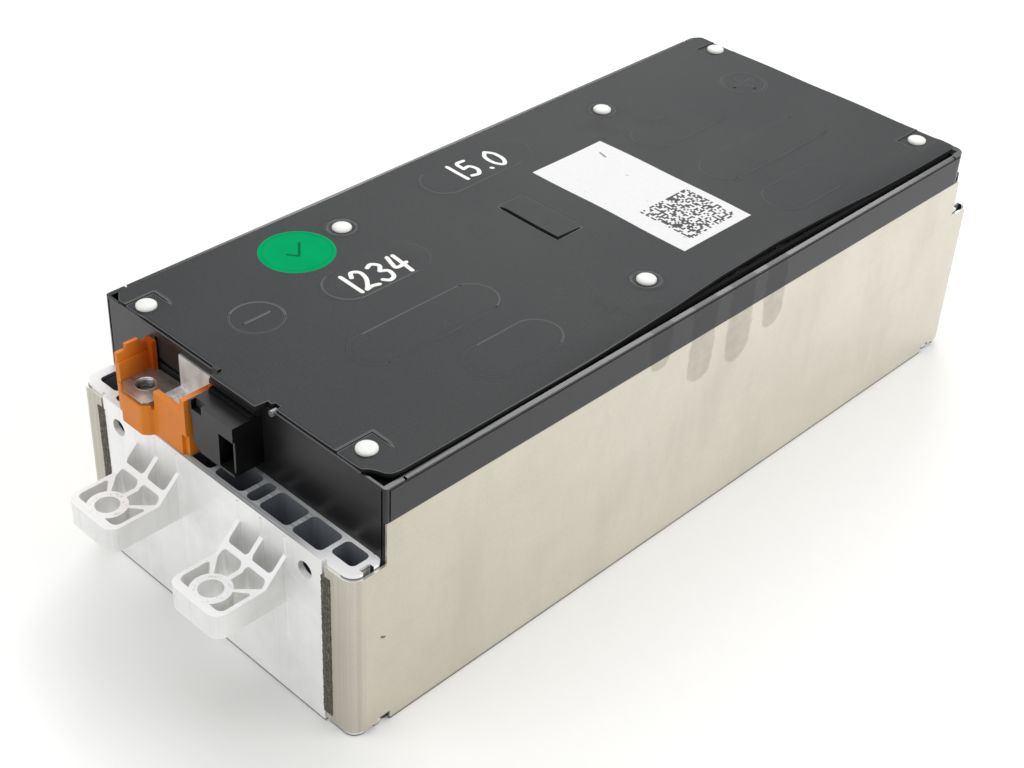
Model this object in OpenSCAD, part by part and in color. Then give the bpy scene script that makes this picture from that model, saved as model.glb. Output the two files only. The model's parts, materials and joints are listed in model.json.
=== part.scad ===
// Battery module: twelve sealed prismatic cells in four groups of three, clamped between
// two hollow end plates with mounting ears and two thin folded side plates.
// The origin is at the middle of the underside. +X is right, seen from the connector end,
// which is at -Y. +Z is up.

/* [Cells] */
// Width of one cell can, across the module
cell_w = 148; // [130:1:170]
// Thickness of one cell can, along the module
cell_t = 26.5; // [25:0.5:30]
// Height of one cell can without its terminals
cell_h = 91; // [88:1:98]
// Radius of the upright corners of a can
can_corner_r = 2.5; // [1:0.5:4]
// Height of a cell terminal above the can
terminal_h = 3.5; // [2.8:0.1:5]
// Side of a square cell terminal
terminal_side = 16; // [12:1:18]
// Distance of a cell terminal from the side of the can
terminal_inset = 19; // [18:1:24]
// Thickness of the foam pad between two cells
foam_t = 1; // [0.5:0.1:1.5]
// Thickness of the insulating panel at each end of the cells
panel_t = 4; // [3:0.5:6]
// Thickness of the insulating film round the cells
film_t = 0.25; // [0.15:0.05:0.4]

/* [Side plates] */
// Thickness of the folded steel sheet
sheet_t = 1; // [0.8:0.1:1.4]
// Outer radius of the sheet where it folds round the end plates
fold_r = 5.7; // [3.5:0.1:7]
// Distance that a side plate's upper edge lies below the top of the cans
sheet_drop = 1.5; // [1:0.1:4]
// Width of the fold that lies on the outer face of an end plate
flange_w = 7.8; // [6:0.1:10]
// Width of the fold under the cells
foot_w = 8; // [5:0.5:20]
// Height of the side plate's lower edge over the end plates
sheet_rise = 2.5; // [1:0.5:6]
// Width of the weld bead on the edge of the fold
weld_w = 4.5; // [3:0.1:5]

/* [End plates] */
// Depth of an end plate, along the module
plate_d = 15; // [14:0.5:18]
// Height of an end plate
plate_h = 75; // [70:0.5:78]
// Thickness of the outer wall of the extrusion
plate_front_t = 2.4; // [1.8:0.1:3]
// Thickness of the inner wall of the extrusion
plate_back_t = 1.7; // [1.2:0.1:2.5]
// Thickness of the webs between the chambers
web_t = 2; // [1.5:0.1:2.5]
// Radius of the gripper holes in the outer wall
grip_hole_r = 3.5; // [2.5:0.1:4]
// Distance of a gripper hole from the middle of the end plate
grip_hole_x = 52; // [48:0.5:54]
// Distance of a gripper hole below the top of the end plate
grip_hole_drop = 9.8; // [7:0.1:14]

/* [Mounting ears] */
// Distance of an ear's middle from the middle of the end plate
ear_x = 29.4; // [27:0.1:32]
// Width of one ear
ear_w = 26.4; // [24:0.1:29]
// Reach of an ear beyond the end plate's outer face
ear_reach = 30.5; // [28:0.5:36]
// Height of the clamping face of an ear above the underside
ear_z = 55.3; // [50:0.1:60]
// Thickness of the clamped part of an ear
ear_t = 10.3; // [8:0.1:14]
// Length of the sloped web between the clamping face and the end plate
ear_slope = 9.6; // [7:0.1:11]
// Wall thickness of an ear
ear_wall = 1.7; // [1.3:0.1:2.2]
// Distance of the ear's hole from the end plate's outer face
ear_hole_y = 22; // [20:0.1:24]
// Radius of the ear's hole
ear_hole_r = 4.5; // [3.5:0.1:5]
// Width of the ring round the ear's hole
ear_ring = 3; // [2:0.1:3.5]

/* [Top frame] */
// Height of the frame's rim above the cans
head_room = 12.8; // [11:0.1:16]
// Thickness of the frame's walls
frame_t = 2; // [1.5:0.1:2.4]
// Width of the flat ledge and rim round the top
ledge_w = 5.9; // [5:0.1:7]
// Width of the channel between the rim and the cover
channel_w = 2.2; // [1.2:0.1:2.8]
// Radius of the frame's rear corners
frame_rear_r = 5; // [2:0.5:8]
// Depth of the groove under the rim
groove = 0.7; // [0.3:0.1:1.2]

/* [Cover] */
// Thickness of the cover sheet
cover_t = 1.5; // [1:0.1:2]
// Gap between the cover's edge and the outer side of the frame
cover_inset = 2.8; // [2.3:0.1:4]
// Radius of a cover rivet's head
rivet_head_r = 3.9; // [3.5:0.1:5.5]
// Height of a cover rivet's head
rivet_head_h = 1.4; // [1:0.1:2.5]
// Radius of a cover rivet's shank
rivet_shank_r = 2; // [1.5:0.1:2.3]
// Height of the raised lines on the cover
emboss_h = 0.4; // [0.2:0.1:0.8]
// Width of the label on the cover, across the module
label_w = 81.2; // [60:0.1:90]
// Length of the label, along the module
label_l = 41.4; // [30:0.1:45]
// Radius of the round sticker
sticker_r = 15.2; // [8:0.1:16]

/* [Terminals] */
// Distance of the terminal screw from the middle of the module
screw_x = 40.6; // [39:0.1:42]
// Distance of the terminal screw from the end plate's outer face
screw_y = 5.7; // [5:0.1:7]
// Radius of the bore in the terminal nut
screw_r = 3.35; // [2.5:0.05:4]
// Width across the flats of the terminal nut
nut_flats = 13; // [10:0.5:14]
// Height of the terminal nut
nut_h = 6.5; // [5:0.5:8]
// Height of the terminal's contact face above the end plate
contact_h = 13.5; // [12:0.5:16]
// Thickness of the terminal plate
contact_t = 2.5; // [2:0.1:3]
// Thickness of the busbars
busbar_t = 2; // [1.5:0.1:2.4]
// Thickness of the strap that leads out of the frame
strap_t = 1.5; // [1:0.1:1.8]
// Width of the busbars and straps
busbar_w = 18; // [14:0.5:18.5]
// Wall thickness of the terminal shrouds
shroud_t = 2.4; // [1.8:0.1:2.8]
// Height of the front shroud's side wall above the contact face
guard_h = 13.5; // [9:0.5:16]
// Height of the rear shroud's side wall above the contact face
rear_guard_h = 10; // [9:0.5:16]

/* [Connector] */
// Width of the connector housing
socket_w = 23.4; // [20:0.1:24]
// Distance of the connector's middle from the middle of the module
socket_x = 2.1; // [1:0.1:3]
// Distance of the connector's face behind the end plate's outer face
socket_y = 1.9; // [1:0.1:3]
// Gap between the end plate and the connector
socket_gap = 5.4; // [3:0.1:8]
// Wall thickness of the connector housing
socket_wall = 1; // [0.8:0.1:1.4]
// Side of a square connector pin
pin_side = 0.64; // [0.5:0.02:1]
// Distance from one connector pin to the next
pin_pitch = 2; // [1.8:0.1:2.4]

/* [Hidden] */
$fn = 48;
CELLS = 12;
GROUP = 3;
CELL_NODES = [for (i = [1:CELLS]) str("cell_", i)];
FOAM_NODES = [for (i = [1:CELLS - 1]) str("foam_pad_", i)];

// Small clearance between pieces that are assembled against each other
fit = 0.1;
// Overlap that joins two solids of one piece or passes a cut through a face
eps = 0.5;

terminal_x = cell_w / 2 - terminal_inset;
pitch = cell_t + foam_t;
stack_l = CELLS * cell_t + (CELLS - 1) * foam_t;
body_l = stack_l + 2 * panel_t + 2 * plate_d;
film_gap = film_t + 0.25;
body_w = cell_w + 2 * (film_gap + sheet_t);
half_w = body_w / 2;
half_l = body_l / 2;
inner_half_w = half_w - sheet_t;

can_z = sheet_t + 2 * film_t;
can_top = can_z + cell_h;
sheet_top = can_top - sheet_drop;
pole_top = can_top + terminal_h;
busbar_top = pole_top + busbar_t;
carrier_z = can_top + fit;
carrier_top = pole_top - 0.3;
frame_top = can_top + head_room;
cover_top = frame_top + cover_t;
frame_out = half_w - fit;
wall_y = plate_d - 0.2;
wall_in = wall_y + frame_t;
ledge_z = frame_top - 5.8;

contact_z = plate_h + contact_h;
deck_z = contact_z - contact_t;
strap_out_z = frame_top - 3.3;
strap_near_x = -13.5;
strap_far_x = strap_near_x - busbar_w;
strap_wall_y = wall_y + 0.9;

socket_z = plate_h + socket_gap;
socket_top = frame_top - 4.3;
socket_left = socket_x - socket_w / 2;
socket_right = socket_x + socket_w / 2;
hood_y = wall_y - 4;

cover_half_w = half_w - cover_inset;
cover_front = wall_y;
// Places of the cover's rivets: the corners from the nearer end, the others from the middle
corner_left_x = -(half_w - 17.5);
corner_right_x = half_w - 18.9;
corner_left_y = 20.4;
corner_right_y = 23.6;
corner_rear_shift = 1.6;
inner_left_x = -(half_w - 23.3);
inner_left_y = 2.74 * pitch;
inner_right_x = half_w - 24.5;
inner_right_y = -0.53 * pitch;

function unit(v) = v / norm(v);

// Points of an arc of radius r in the corner b between the points a and c
function corner_arc(a, b, c, r, steps = 5) =
    let (
        u = unit(a - b),
        v = unit(c - b),
        half = acos(u * v) / 2,
        centre = b + unit(u + v) * r / sin(half),
        p = b + u * r / tan(half) - centre,
        q = b + v * r / tan(half) - centre,
        start = atan2(p.y, p.x),
        turn = (atan2(q.y, q.x) - start + 540) % 360 - 180
    )
    [for (i = [0:steps]) centre + r * [cos(start + turn * i / steps), sin(start + turn * i / steps)]];

// Closed outline with every corner rounded: each entry is x, y and the corner's radius
function rounded(corners) =
    let (n = len(corners))
    [for (i = [0:n - 1])
        let (
            a = corners[(i + n - 1) % n],
            b = corners[i],
            c = corners[(i + 1) % n]
        )
        each (b[2] > 0 ? corner_arc([a.x, a.y], [b.x, b.y], [c.x, c.y], b[2]) : [[b.x, b.y]])];

function cell_y(i) = -stack_l / 2 + cell_t / 2 + (i - 1) * pitch;

module at_front() translate([0, -half_l, 0]) children();

module at_rear() mirror([0, 1, 0]) at_front() children();

// Block between two opposite corners
module block(low, high) translate(low) cube(high - low);

// Flat rectangle between two opposite corners
module rect(low, high) translate(low) square(high - low);

// Flat rectangle with round corners, from exact arcs
module round_rect(low, high, r) {
    rect([low.x + r, low.y], [high.x - r, high.y]);
    rect([low.x, low.y + r], [high.x, high.y - r]);
    for (x = [low.x + r, high.x - r])
        for (y = [low.y + r, high.y - r])
            translate([x, y]) circle(r);
}

// Flat capsule between two points along Y
module stadium(x, y0, y1, w) {
    rect([x - w / 2, y0 + w / 2], [x + w / 2, y1 - w / 2]);
    for (y = [y0 + w / 2, y1 - w / 2])
        translate([x, y]) circle(w / 2);
}

// Mirrors what is drawn for the right side onto the left side as well
module both_sides() {
    children();
    mirror([1, 0, 0]) children();
}

// Cells

vent_w = 24;
vent_d = 12;
vent_h = 0.6;

module cell(i) {
    color("lightsteelblue") translate([0, cell_y(i), 0]) {
        translate([0, 0, can_z]) linear_extrude(cell_h)
            round_rect([-cell_w / 2, -cell_t / 2], [cell_w / 2, cell_t / 2], can_corner_r);
        for (x = [-terminal_x, terminal_x])
            block([x - terminal_side / 2, -terminal_side / 2, can_top - eps],
                [x + terminal_side / 2, terminal_side / 2, pole_top]);
        translate([0, 0, can_top - eps]) linear_extrude(vent_h + eps)
            round_rect([-vent_w / 2, -vent_d / 2], [vent_w / 2, vent_d / 2], vent_d / 2 - fit);
    }
}

module foam_pad(i) {
    margin = 3;
    color("dimgray") translate([0, cell_y(i) + cell_t / 2, can_z])
        block([-cell_w / 2 + margin, 0, margin], [cell_w / 2 - margin, foam_t, cell_h - margin]);
}

// Insulation

module insulating_panel() {
    color("darkslategray") {
        block([-cell_w / 2, plate_d, 0.3], [cell_w / 2, plate_d + panel_t, plate_h - fit]);
        block([-cell_w / 2, wall_in + fit, plate_h - eps],
            [cell_w / 2, plate_d + panel_t, can_top - fit]);
    }
}

module side_film() {
    color("royalblue")
        block([cell_w / 2, -stack_l / 2, can_z], [cell_w / 2 + film_t, stack_l / 2, sheet_top]);
}

module bottom_film() {
    color("royalblue")
        block([-cell_w / 2, -stack_l / 2, sheet_t], [cell_w / 2, stack_l / 2, can_z]);
}

// End plates

pocket_d = sheet_t + fit;
chamber_r = 2;
plate_back_r = 3;
side_notch_y = 6;
side_notch_d = 2.2;
side_notch_w = 4.5;
side_chamber_y = 5;
side_chamber_wall = 4.4;
ridge_h = 0.3;
ridge_w = 0.8;
ear_corner_r = 4.5;
rib_y = 5.75;
slot_wall = 3.4;

// Where the extrusion steps back to take the fold of the side plate
step_x = half_w - fold_r - flange_w - 0.3;
chamber_end_x = step_x - 4.7;

module plate_outline() {
    r = fold_r - sheet_t;
    x = inner_half_w - fit;
    difference() {
        union() {
            rect([-x + r, pocket_d], [x - r, plate_d]);
            rect([-x, pocket_d + r], [x, plate_d - plate_back_r]);
            for (s = [-1, 1]) {
                translate([s * (x - r), pocket_d + r]) circle(r);
                translate([s * (x - plate_back_r), plate_d - plate_back_r]) circle(plate_back_r);
            }
            rect([-step_x, 0], [step_x, plate_d / 2]);
        }
        rect([x - side_notch_d, side_notch_y], [x + eps, side_notch_y + side_notch_w]);
        both_sides() rect([step_x - 1, -eps], [step_x + eps, pocket_d + 0.8]);
    }
}

// The chambers repeat between webs: a wide one, a narrow one, then two wide ones
wide = (chamber_end_x - 5 - 3.5 * web_t) / 3;
narrow = 5;

module plate_chambers() {
    y0 = plate_front_t;
    y1 = plate_d - plate_back_t;
    a = web_t / 2;
    b = a + wide + web_t;
    c = b + narrow + web_t;
    d = c + wide + web_t;
    both_sides() {
        round_rect([a, y0], [a + wide, y1], chamber_r);
        round_rect([b, y0], [b + narrow, y1], chamber_r);
        round_rect([c, y0], [c + wide, y1], chamber_r);
        round_rect([d, y0], [d + wide, y1], chamber_r);
        round_rect([d + wide + web_t, side_chamber_y],
            [inner_half_w - side_chamber_wall, y1], chamber_r);
    }
}

// Section of one ear: side walls, cross rib, ring, middle web and two diagonal webs
module ear_section() {
    w = ear_w / 2;
    inner = w - ear_wall;
    ring_r = ear_hole_r + ear_ring;
    difference() {
        union() {
            rect([-w, -ear_slope], [w, eps]);
            polygon(rounded([[-w, -ear_slope + eps, 0], [-w, -ear_reach, ear_corner_r],
                [w, -ear_reach, ear_corner_r], [w, -ear_slope + eps, 0]]));
        }
        for (s = [-1, 1]) scale([s, 1]) {
            polygon(rounded([[web_t / 2, 0.01, 0], [inner, 0.01, 0], [inner, -rib_y, 1.5],
                [web_t / 2, -rib_y, 1.5]]));
            difference() {
                polygon(rounded([[web_t / 2, -rib_y - ear_wall, 1.5],
                    [inner, -rib_y - ear_wall, 1.5], [inner, -ear_slope - 0.5, 0.5],
                    [ring_r * 0.6, -ear_hole_y + ring_r * 0.6, 0], [web_t / 2, -ear_hole_y, 0]]));
                translate([0, -ear_hole_y]) circle(ring_r);
            }
            difference() {
                polygon(rounded([[inner, -ear_slope - 3.8, 0.8],
                    [inner, -ear_reach + slot_wall, 2.6], [ring_r * 0.6, -ear_reach + slot_wall, 0],
                    [ring_r * 0.6, -ear_hole_y, 0], [ring_r * 0.75, -ear_hole_y + ring_r * 0.5, 0]]));
                translate([0, -ear_hole_y]) circle(ring_r);
            }
        }
    }
}

// Side view of an ear, with the slope that is cut up to the end plate
module ear_side_cut() {
    rise = ear_slope;
    rotate([90, 0, 90]) translate([0, 0, -ear_w]) linear_extrude(2 * ear_w)
        polygon([[-ear_reach - 1, ear_z - ear_t], [1, ear_z - ear_t], [1, ear_z + rise + 1],
            [0, ear_z + rise], [-ear_slope, ear_z], [-ear_reach - 1, ear_z]]);
}

module ear() {
    difference() {
        intersection() {
            translate([0, 0, ear_z - ear_t]) linear_extrude(ear_t + ear_slope + 2) ear_section();
            ear_side_cut();
        }
        translate([0, -ear_hole_y, ear_z - ear_t - eps])
            cylinder(h = ear_t + 2 * eps, r = ear_hole_r, $fn = 64);
    }
}

// Low ridges that stay where the ear's walls are milled off the rest of the extrusion
module ear_ridges() {
    top = ear_z + ear_slope;
    for (s = [-1, 0, 1])
        ridge(s * (ear_w / 2 - ear_wall / 2), top + 0.5, plate_h - 1.5);
    for (s = [-1, 1])
        ridge(s * (ear_w / 2 - ear_wall / 2), plate_h * 0.32, ear_z - ear_t - 0.5);
}

module ridge(x, low, high) {
    translate([x, 0, low]) linear_extrude(high - low)
        polygon([[-ridge_w, eps], [-ridge_w, 0], [0, -ridge_h], [ridge_w, 0], [ridge_w, eps]]);
}

module end_plate() {
    color("gainsboro") {
        difference() {
            linear_extrude(plate_h) difference() {
                plate_outline();
                plate_chambers();
            }
            for (s = [-1, 1])
                translate([s * grip_hole_x, -eps, plate_h - grip_hole_drop]) rotate([-90, 0, 0])
                    cylinder(h = plate_front_t + 2 * eps, r = grip_hole_r);
        }
        for (s = [-1, 1]) translate([s * ear_x, 0, 0]) {
            ear();
            ear_ridges();
        }
    }
}

// Side plates

step_y = plate_d + 0.3;
relief_y = 12;
relief_w = 5;
relief_h = 4;

// Plan of the right side plate: a long web with a fold round each end plate
module sheet_plan() {
    r = fold_r;
    x = half_w;
    difference() {
        union() {
            rect([x - r - flange_w, -half_l + 0.05], [x - r, -half_l + r]);
            rect([x - r - flange_w, half_l - r], [x - r, half_l - 0.05]);
            rect([x - r, -half_l + r], [x, half_l - r]);
            for (s = [-1, 1]) translate([x - r, s * (half_l - r)]) circle(r - 0.05);
        }
        union() {
            rect([0, -half_l + r], [x - r + 0.01, half_l - r]);
            rect([0, -half_l + sheet_t], [x - r + 0.01, half_l - sheet_t]);
            rect([x - r - eps, -half_l + r], [x - sheet_t, half_l - r]);
            for (s = [-1, 1]) translate([x - r, s * (half_l - r)]) circle(r - sheet_t);
        }
    }
}

module side_plate() {
    color("tan") difference() {
        union() {
            linear_extrude(sheet_top) sheet_plan();
            block([half_w - foot_w, -half_l + step_y + relief_w, 0],
                [half_w - sheet_t + 0.01, half_l - step_y - relief_w, sheet_t]);
        }
        for (s = [-1, 1]) scale([1, s, 1]) {
            block([0, -half_l - eps, plate_h - 1.8], [half_w + eps, -half_l + step_y, sheet_top + eps]);
            block([0, -half_l - eps, -eps], [half_w + eps, -half_l + relief_y, sheet_rise]);
            block([inner_half_w - eps, -half_l + relief_y - eps, -eps],
                [half_w + eps, -half_l + relief_y + relief_w, relief_h]);
        }
    }
}

module weld_beads() {
    bead_h = 0.6;
    low = 5;
    high = plate_h - 6;
    x = half_w - fold_r - flange_w - weld_w * 0.4;
    color("dimgray") for (s = [-1, 1]) for (m = [-1, 1]) scale([m, s, 1])
        translate([0, half_l, low]) linear_extrude(high - low)
            polygon(rounded([[x, 0, 0], [x + 0.2, bead_h, 0.2],
                [x + weld_w - 0.2, bead_h, 0.2], [x + weld_w, 0, 0]]));
}

// Busbars

window = terminal_side + 4;
vent_window_w = vent_w + 6;
vent_window_d = vent_d + 4;
post_r = 3.3;

function corner_places() = [
    [corner_left_x, -half_l + corner_left_y],
    [corner_right_x, -half_l + corner_right_y],
    [corner_left_x, half_l - corner_left_y - corner_rear_shift],
    [corner_right_x, half_l - corner_right_y - corner_rear_shift]];

function inner_places() = [
    [inner_left_x, -inner_left_y],
    [inner_left_x, inner_left_y],
    [inner_right_x, inner_right_y]];

// Post of the carrier that reaches over a busbar from its inner side
module rivet_post(p) {
    side = sign(p.x);
    low = busbar_top + 0.3;
    high = frame_top - fit;
    foot = terminal_x - window / 2 - 0.5;
    translate([p.x, p.y, low]) cylinder(h = high - low, r = post_r);
    scale([side, 1, 1]) {
        block([foot - 3, p.y - 4, carrier_z], [foot, p.y + 4, high]);
        block([foot - 1, p.y - 1.2, low], [abs(p.x), p.y + 1.2, high]);
    }
}

module busbar_carrier() {
    edge_x = cell_w / 2 - ledge_w - 1;
    edge_y = stack_l / 2 - 1;
    color("ivory") difference() {
        union() {
            block([-edge_x, -edge_y, carrier_z], [edge_x, edge_y, carrier_top]);
            for (p = inner_places()) rivet_post(p);
        }
        for (i = [1:CELLS]) translate([0, cell_y(i), 0]) {
            for (x = [-terminal_x, terminal_x])
                block([x - window / 2, -window / 2, carrier_z - eps],
                    [x + window / 2, window / 2, carrier_top + eps]);
            block([-vent_window_w / 2, -vent_window_d / 2, carrier_z - eps],
                [vent_window_w / 2, vent_window_d / 2, carrier_top + eps]);
        }
        for (p = inner_places())
            translate([p.x, p.y, busbar_top]) cylinder(h = head_room, r = rivet_shank_r + fit);
    }
}

// Flat bar over the terminals of the cells first to last, with a waist between each two
module terminal_bar(x, first, last) {
    w = busbar_w / 2;
    e = terminal_side / 2;
    waist = 3;
    color("silver") difference() {
        block([x - w, cell_y(first) - e, pole_top], [x + w, cell_y(last) + e, busbar_top]);
        for (i = [first:last - 1]) for (s = [-1, 1])
            translate([x + s * w, cell_y(i) + pitch / 2, pole_top - eps])
                cylinder(h = busbar_t + 2 * eps, r = waist);
    }
}

// Bar of an end group, with the strap that passes through the frame and down to the contact
module lead_busbar() {
    w = busbar_w / 2;
    first_y = half_l + cell_y(1);
    arm_y = first_y + w;
    arm_d = 8;
    z1 = strap_out_z;
    color("silver") {
        translate([0, half_l, 0]) terminal_bar(-terminal_x, 1, GROUP);
        block([-terminal_x, arm_y - arm_d, pole_top], [strap_near_x, arm_y, busbar_top]);
        block([strap_far_x, arm_y - arm_d, pole_top], [strap_near_x, arm_y - arm_d + strap_t, z1]);
        block([strap_far_x, strap_wall_y - strap_t, z1 - strap_t],
            [strap_near_x, arm_y - arm_d + strap_t, z1]);
        block([strap_far_x, strap_wall_y - strap_t, contact_z - strap_t],
            [strap_near_x, strap_wall_y, z1]);
        block([strap_far_x, shroud_front_y + shroud_t + fit, contact_z - strap_t],
            [strap_near_x, strap_wall_y, contact_z]);
    }
}

// Sensing circuit

flex_t = 0.3;
flex_w = 8;
flex_x = 20;
arm_w = 5;

module sensing_flex() {
    z = carrier_top;
    spine_y0 = -half_l + wall_y - 3;
    turn_y = -stack_l / 2 + 2;
    reach = terminal_x - busbar_w / 2 + 2;
    color("darkorange") translate([0, 0, z]) linear_extrude(flex_t) {
        rect([socket_x - flex_w / 2, spine_y0], [socket_x + flex_w / 2, turn_y + arm_w]);
        rect([socket_x - flex_w / 2, turn_y], [flex_x + flex_w / 2, turn_y + arm_w]);
        rect([flex_x - flex_w / 2, turn_y], [flex_x + flex_w / 2, cell_y(CELLS)]);
        for (i = [1, 2 * GROUP, CELLS - 1])
            rect([-reach, cell_y(i) + pitch / 2 - arm_w / 2], [flex_x, cell_y(i) + pitch / 2 + arm_w / 2]);
        for (i = [GROUP, 3 * GROUP])
            rect([flex_x, cell_y(i) + pitch / 2 - arm_w / 2], [reach, cell_y(i) + pitch / 2 + arm_w / 2]);
    }
}

module thermistor(i) {
    color("black") translate([flex_x, cell_y(i), carrier_top + flex_t])
        block([-3, -2, 0], [3, 2, 1.5]);
}

// Connector

opening_left = socket_x + 4;
opening_low = socket_z + socket_wall;
opening_high = socket_top - 6;
opening_right = socket_right - socket_wall;
opening_d = 10.5;
pin_l = 5;
PIN_ROWS = max(1, floor((opening_high - opening_low - 3) / pin_pitch));

module connector_housing() {
    latch_w = 5.5;
    latch_h = 3.6;
    color("black") at_front() difference() {
        rotate([-90, 0, 0]) translate([0, 0, socket_y]) linear_extrude(wall_y - socket_y - fit)
            polygon([[socket_left, -socket_top + 0.4], [socket_left + 0.4, -socket_top],
                [socket_right, -socket_top], [socket_right, -socket_z],
                [socket_left + 5, -socket_z], [socket_left + 1.2, -socket_z - 2.9],
                [socket_left + 1.2, -socket_top + 6.6], [socket_left, -socket_top + 6.1]]);
        block([opening_left, socket_y - eps, opening_low],
            [opening_right, socket_y + opening_d, opening_high]);
        block([opening_right - eps, socket_y - eps, opening_low],
            [socket_right + eps, socket_y + 0.9, opening_high]);
        block([socket_left + 1.2, socket_y - eps, socket_top - latch_h],
            [socket_left + 1.2 + latch_w, socket_y + 2.2, socket_top + eps]);
        block([socket_x - flex_w / 2 - 0.3, wall_y - 3.2, carrier_top - 0.3],
            [socket_x + flex_w / 2 + 0.3, wall_y + eps, carrier_top + flex_t + 0.3]);
    }
}

module connector_pins() {
    columns = 2;
    middle_x = (opening_left + opening_right) / 2;
    middle_z = (opening_low + opening_high) / 2;
    back = socket_y + opening_d;
    color("gold") at_front()
        for (c = [0:columns - 1]) for (r = [0:PIN_ROWS - 1])
            translate([middle_x + (c - 0.5) * pin_pitch, back - pin_l,
                middle_z + (r - (PIN_ROWS - 1) / 2) * pin_pitch])
                block([-pin_side / 2, 0, -pin_side / 2], [pin_side / 2, pin_l, pin_side / 2]);
}

// Top frame

front_corner_r = 1.2;
boss_r = 4.2;
recess_left = -46;
recess_right = strap_near_x + 0.5;

module frame_outline(inset) {
    x = frame_out - inset;
    y = half_l - wall_y - inset;
    fr = max(front_corner_r - inset, 0.3);
    rr = max(frame_rear_r - inset, 0.3);
    rect([-x + fr, -y], [x - fr, 0]);
    rect([-x, -y + fr], [x, y - rr]);
    rect([-x + rr, 0], [x - rr, y]);
    for (s = [-1, 1]) {
        translate([s * (x - fr), -y + fr]) circle(fr);
        translate([s * (x - rr), y - rr]) circle(rr);
    }
}

module frame_ring(z0, z1, inset, w) {
    translate([0, 0, z0]) linear_extrude(z1 - z0) difference() {
        frame_outline(inset);
        frame_outline(inset + w);
    }
}

// Front or rear wall of the frame above an end plate
module frame_end_wall() {
    x = frame_out - 1.1;
    block([-x, wall_y, plate_h + fit], [x, wall_in, can_top + 2]);
}

// Pocket and slot in an end wall for the strap
module strap_cuts() {
    block([recess_left, wall_y - eps, deck_z], [recess_right, strap_wall_y + fit, strap_out_z + 0.3]);
    block([strap_far_x - 0.3, wall_y - eps, strap_out_z - strap_t - 0.3],
        [strap_near_x + 0.3, wall_y + 9, strap_out_z + 0.3]);
}

module top_frame() {
    channel_in = ledge_w - frame_t - channel_w;
    color([0.13, 0.13, 0.14]) difference() {
        union() {
            frame_ring(sheet_top, frame_top, 0, frame_t);
            frame_ring(ledge_z, frame_top, 0, ledge_w);
            frame_ring(can_top + fit, can_top + 1.5, 0, ledge_w - 1);
            at_front() {
                frame_end_wall();
                block([socket_left, hood_y, socket_top + 2.2],
                    [socket_right + 0.6, wall_y + eps, frame_top]);
                block([socket_left, hood_y + 1.5, socket_top + fit],
                    [socket_right, wall_y + eps, frame_top]);
                block([socket_left + 1, hood_y - 1.2, socket_top + 0.3],
                    [socket_right - 0.5, hood_y + 2, socket_top + 1.4]);
            }
            at_rear() frame_end_wall();
            for (p = corner_places()) {
                translate([p.x, p.y, busbar_top + 0.4])
                    cylinder(h = frame_top - busbar_top - 0.4, r = boss_r);
                scale([1, sign(p.y), 1]) block([p.x - 2, abs(p.y), ledge_z],
                    [p.x + 2, half_l - wall_in, frame_top]);
            }
        }
        for (p = corner_places())
            translate([p.x, p.y, busbar_top])
                cylinder(h = head_room, r = rivet_shank_r + fit);
        // Channel beside the rim, along both sides
        for (s = [-1, 1]) scale([s, 1, 1]) {
            block([frame_out - frame_t - channel_w, -half_l + wall_y + 1, frame_top - 3],
                [frame_out - frame_t, half_l - wall_in - 5, frame_top + eps]);
            block([cover_half_w - 10, -half_l + wall_y + 1, frame_top - 3],
                [frame_out - frame_t, -half_l + wall_in + 4, frame_top + eps]);
            // Grooves beside the front corner post
            block([frame_out - 2.2, -half_l + wall_y - eps, plate_h],
                [frame_out - 1.5, -half_l + wall_y + 0.5, frame_top - 1]);
            block([frame_out - 0.5, -half_l + wall_y + 1.5, plate_h],
                [frame_out + eps, -half_l + wall_y + 2.2, frame_top - 1]);
        }
        // Seat over the edge of the side plates and the cans
        for (s = [-1, 1]) scale([s, 1, 1])
            block([0, -half_l + step_y - 0.1, sheet_top - eps],
                [inner_half_w - fit, half_l - step_y + 0.1, can_top + fit]);
        // Groove under the rim
        for (s = [-1, 1]) scale([s, 1, 1]) {
            block([frame_out - groove, -half_l + wall_y + 2, frame_top - 1.5],
                [half_w + eps, half_l - wall_y - 4, frame_top - 0.8]);
            for (t = [-1, 1])
                block([frame_out - 1.3, t * (half_l - 23.6) - 0.5, frame_top - 1.5],
                    [half_w + eps, t * (half_l - 23.6) + 0.5, frame_top + eps]);
        }
        at_front() {
            strap_cuts();
            block([socket_x - flex_w / 2 - 0.3, wall_y - eps, carrier_top - 0.3],
                [socket_x + flex_w / 2 + 0.3, wall_in + eps, carrier_top + flex_t + 0.3]);
            translate([cover_pin_x, wall_y - 1.2, frame_top - 0.7]) rotate([-90, 0, 0])
                cylinder(h = 3.4, r = 1.3);
        }
        at_rear() strap_cuts();
    }
}

// Terminals

shroud_left = -50;
shroud_right = -10.9;
shroud_front_y = 0.6;
shroud_back_y = wall_y - fit;
contact_left = shroud_left + shroud_t + 0.2;
contact_right = -30.3;
contact_front_y = -3.2;
contact_rim = 1;
bulge_left = -43.6;
bulge_right = -32;

// Plan of the shroud's base, with the bulge round the nut
module shroud_base_plan() {
    polygon(rounded([[shroud_left, shroud_back_y, 0], [shroud_left, 0, 0.5],
        [shroud_left + 2.8, -0.4, 1], [bulge_left, contact_front_y, 2.4],
        [bulge_right, contact_front_y, 2.6], [contact_right + 0.4, contact_front_y + 2, 1.2],
        [contact_right + 1.2, shroud_front_y, 1], [shroud_right, shroud_front_y, 0.4],
        [shroud_right, shroud_back_y, 0]]));
}

// Front edges of the contact plate, moved out by grow
function contact_edge(grow) = [[contact_left - grow, 0.5 - grow],
    [bulge_left + 0.6, contact_front_y + 0.9 - grow], [bulge_right - 0.6, contact_front_y + 0.9 - grow],
    [contact_right - 0.5 + grow, contact_front_y + 2.8 - grow], [contact_right + grow, 3]];

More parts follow.
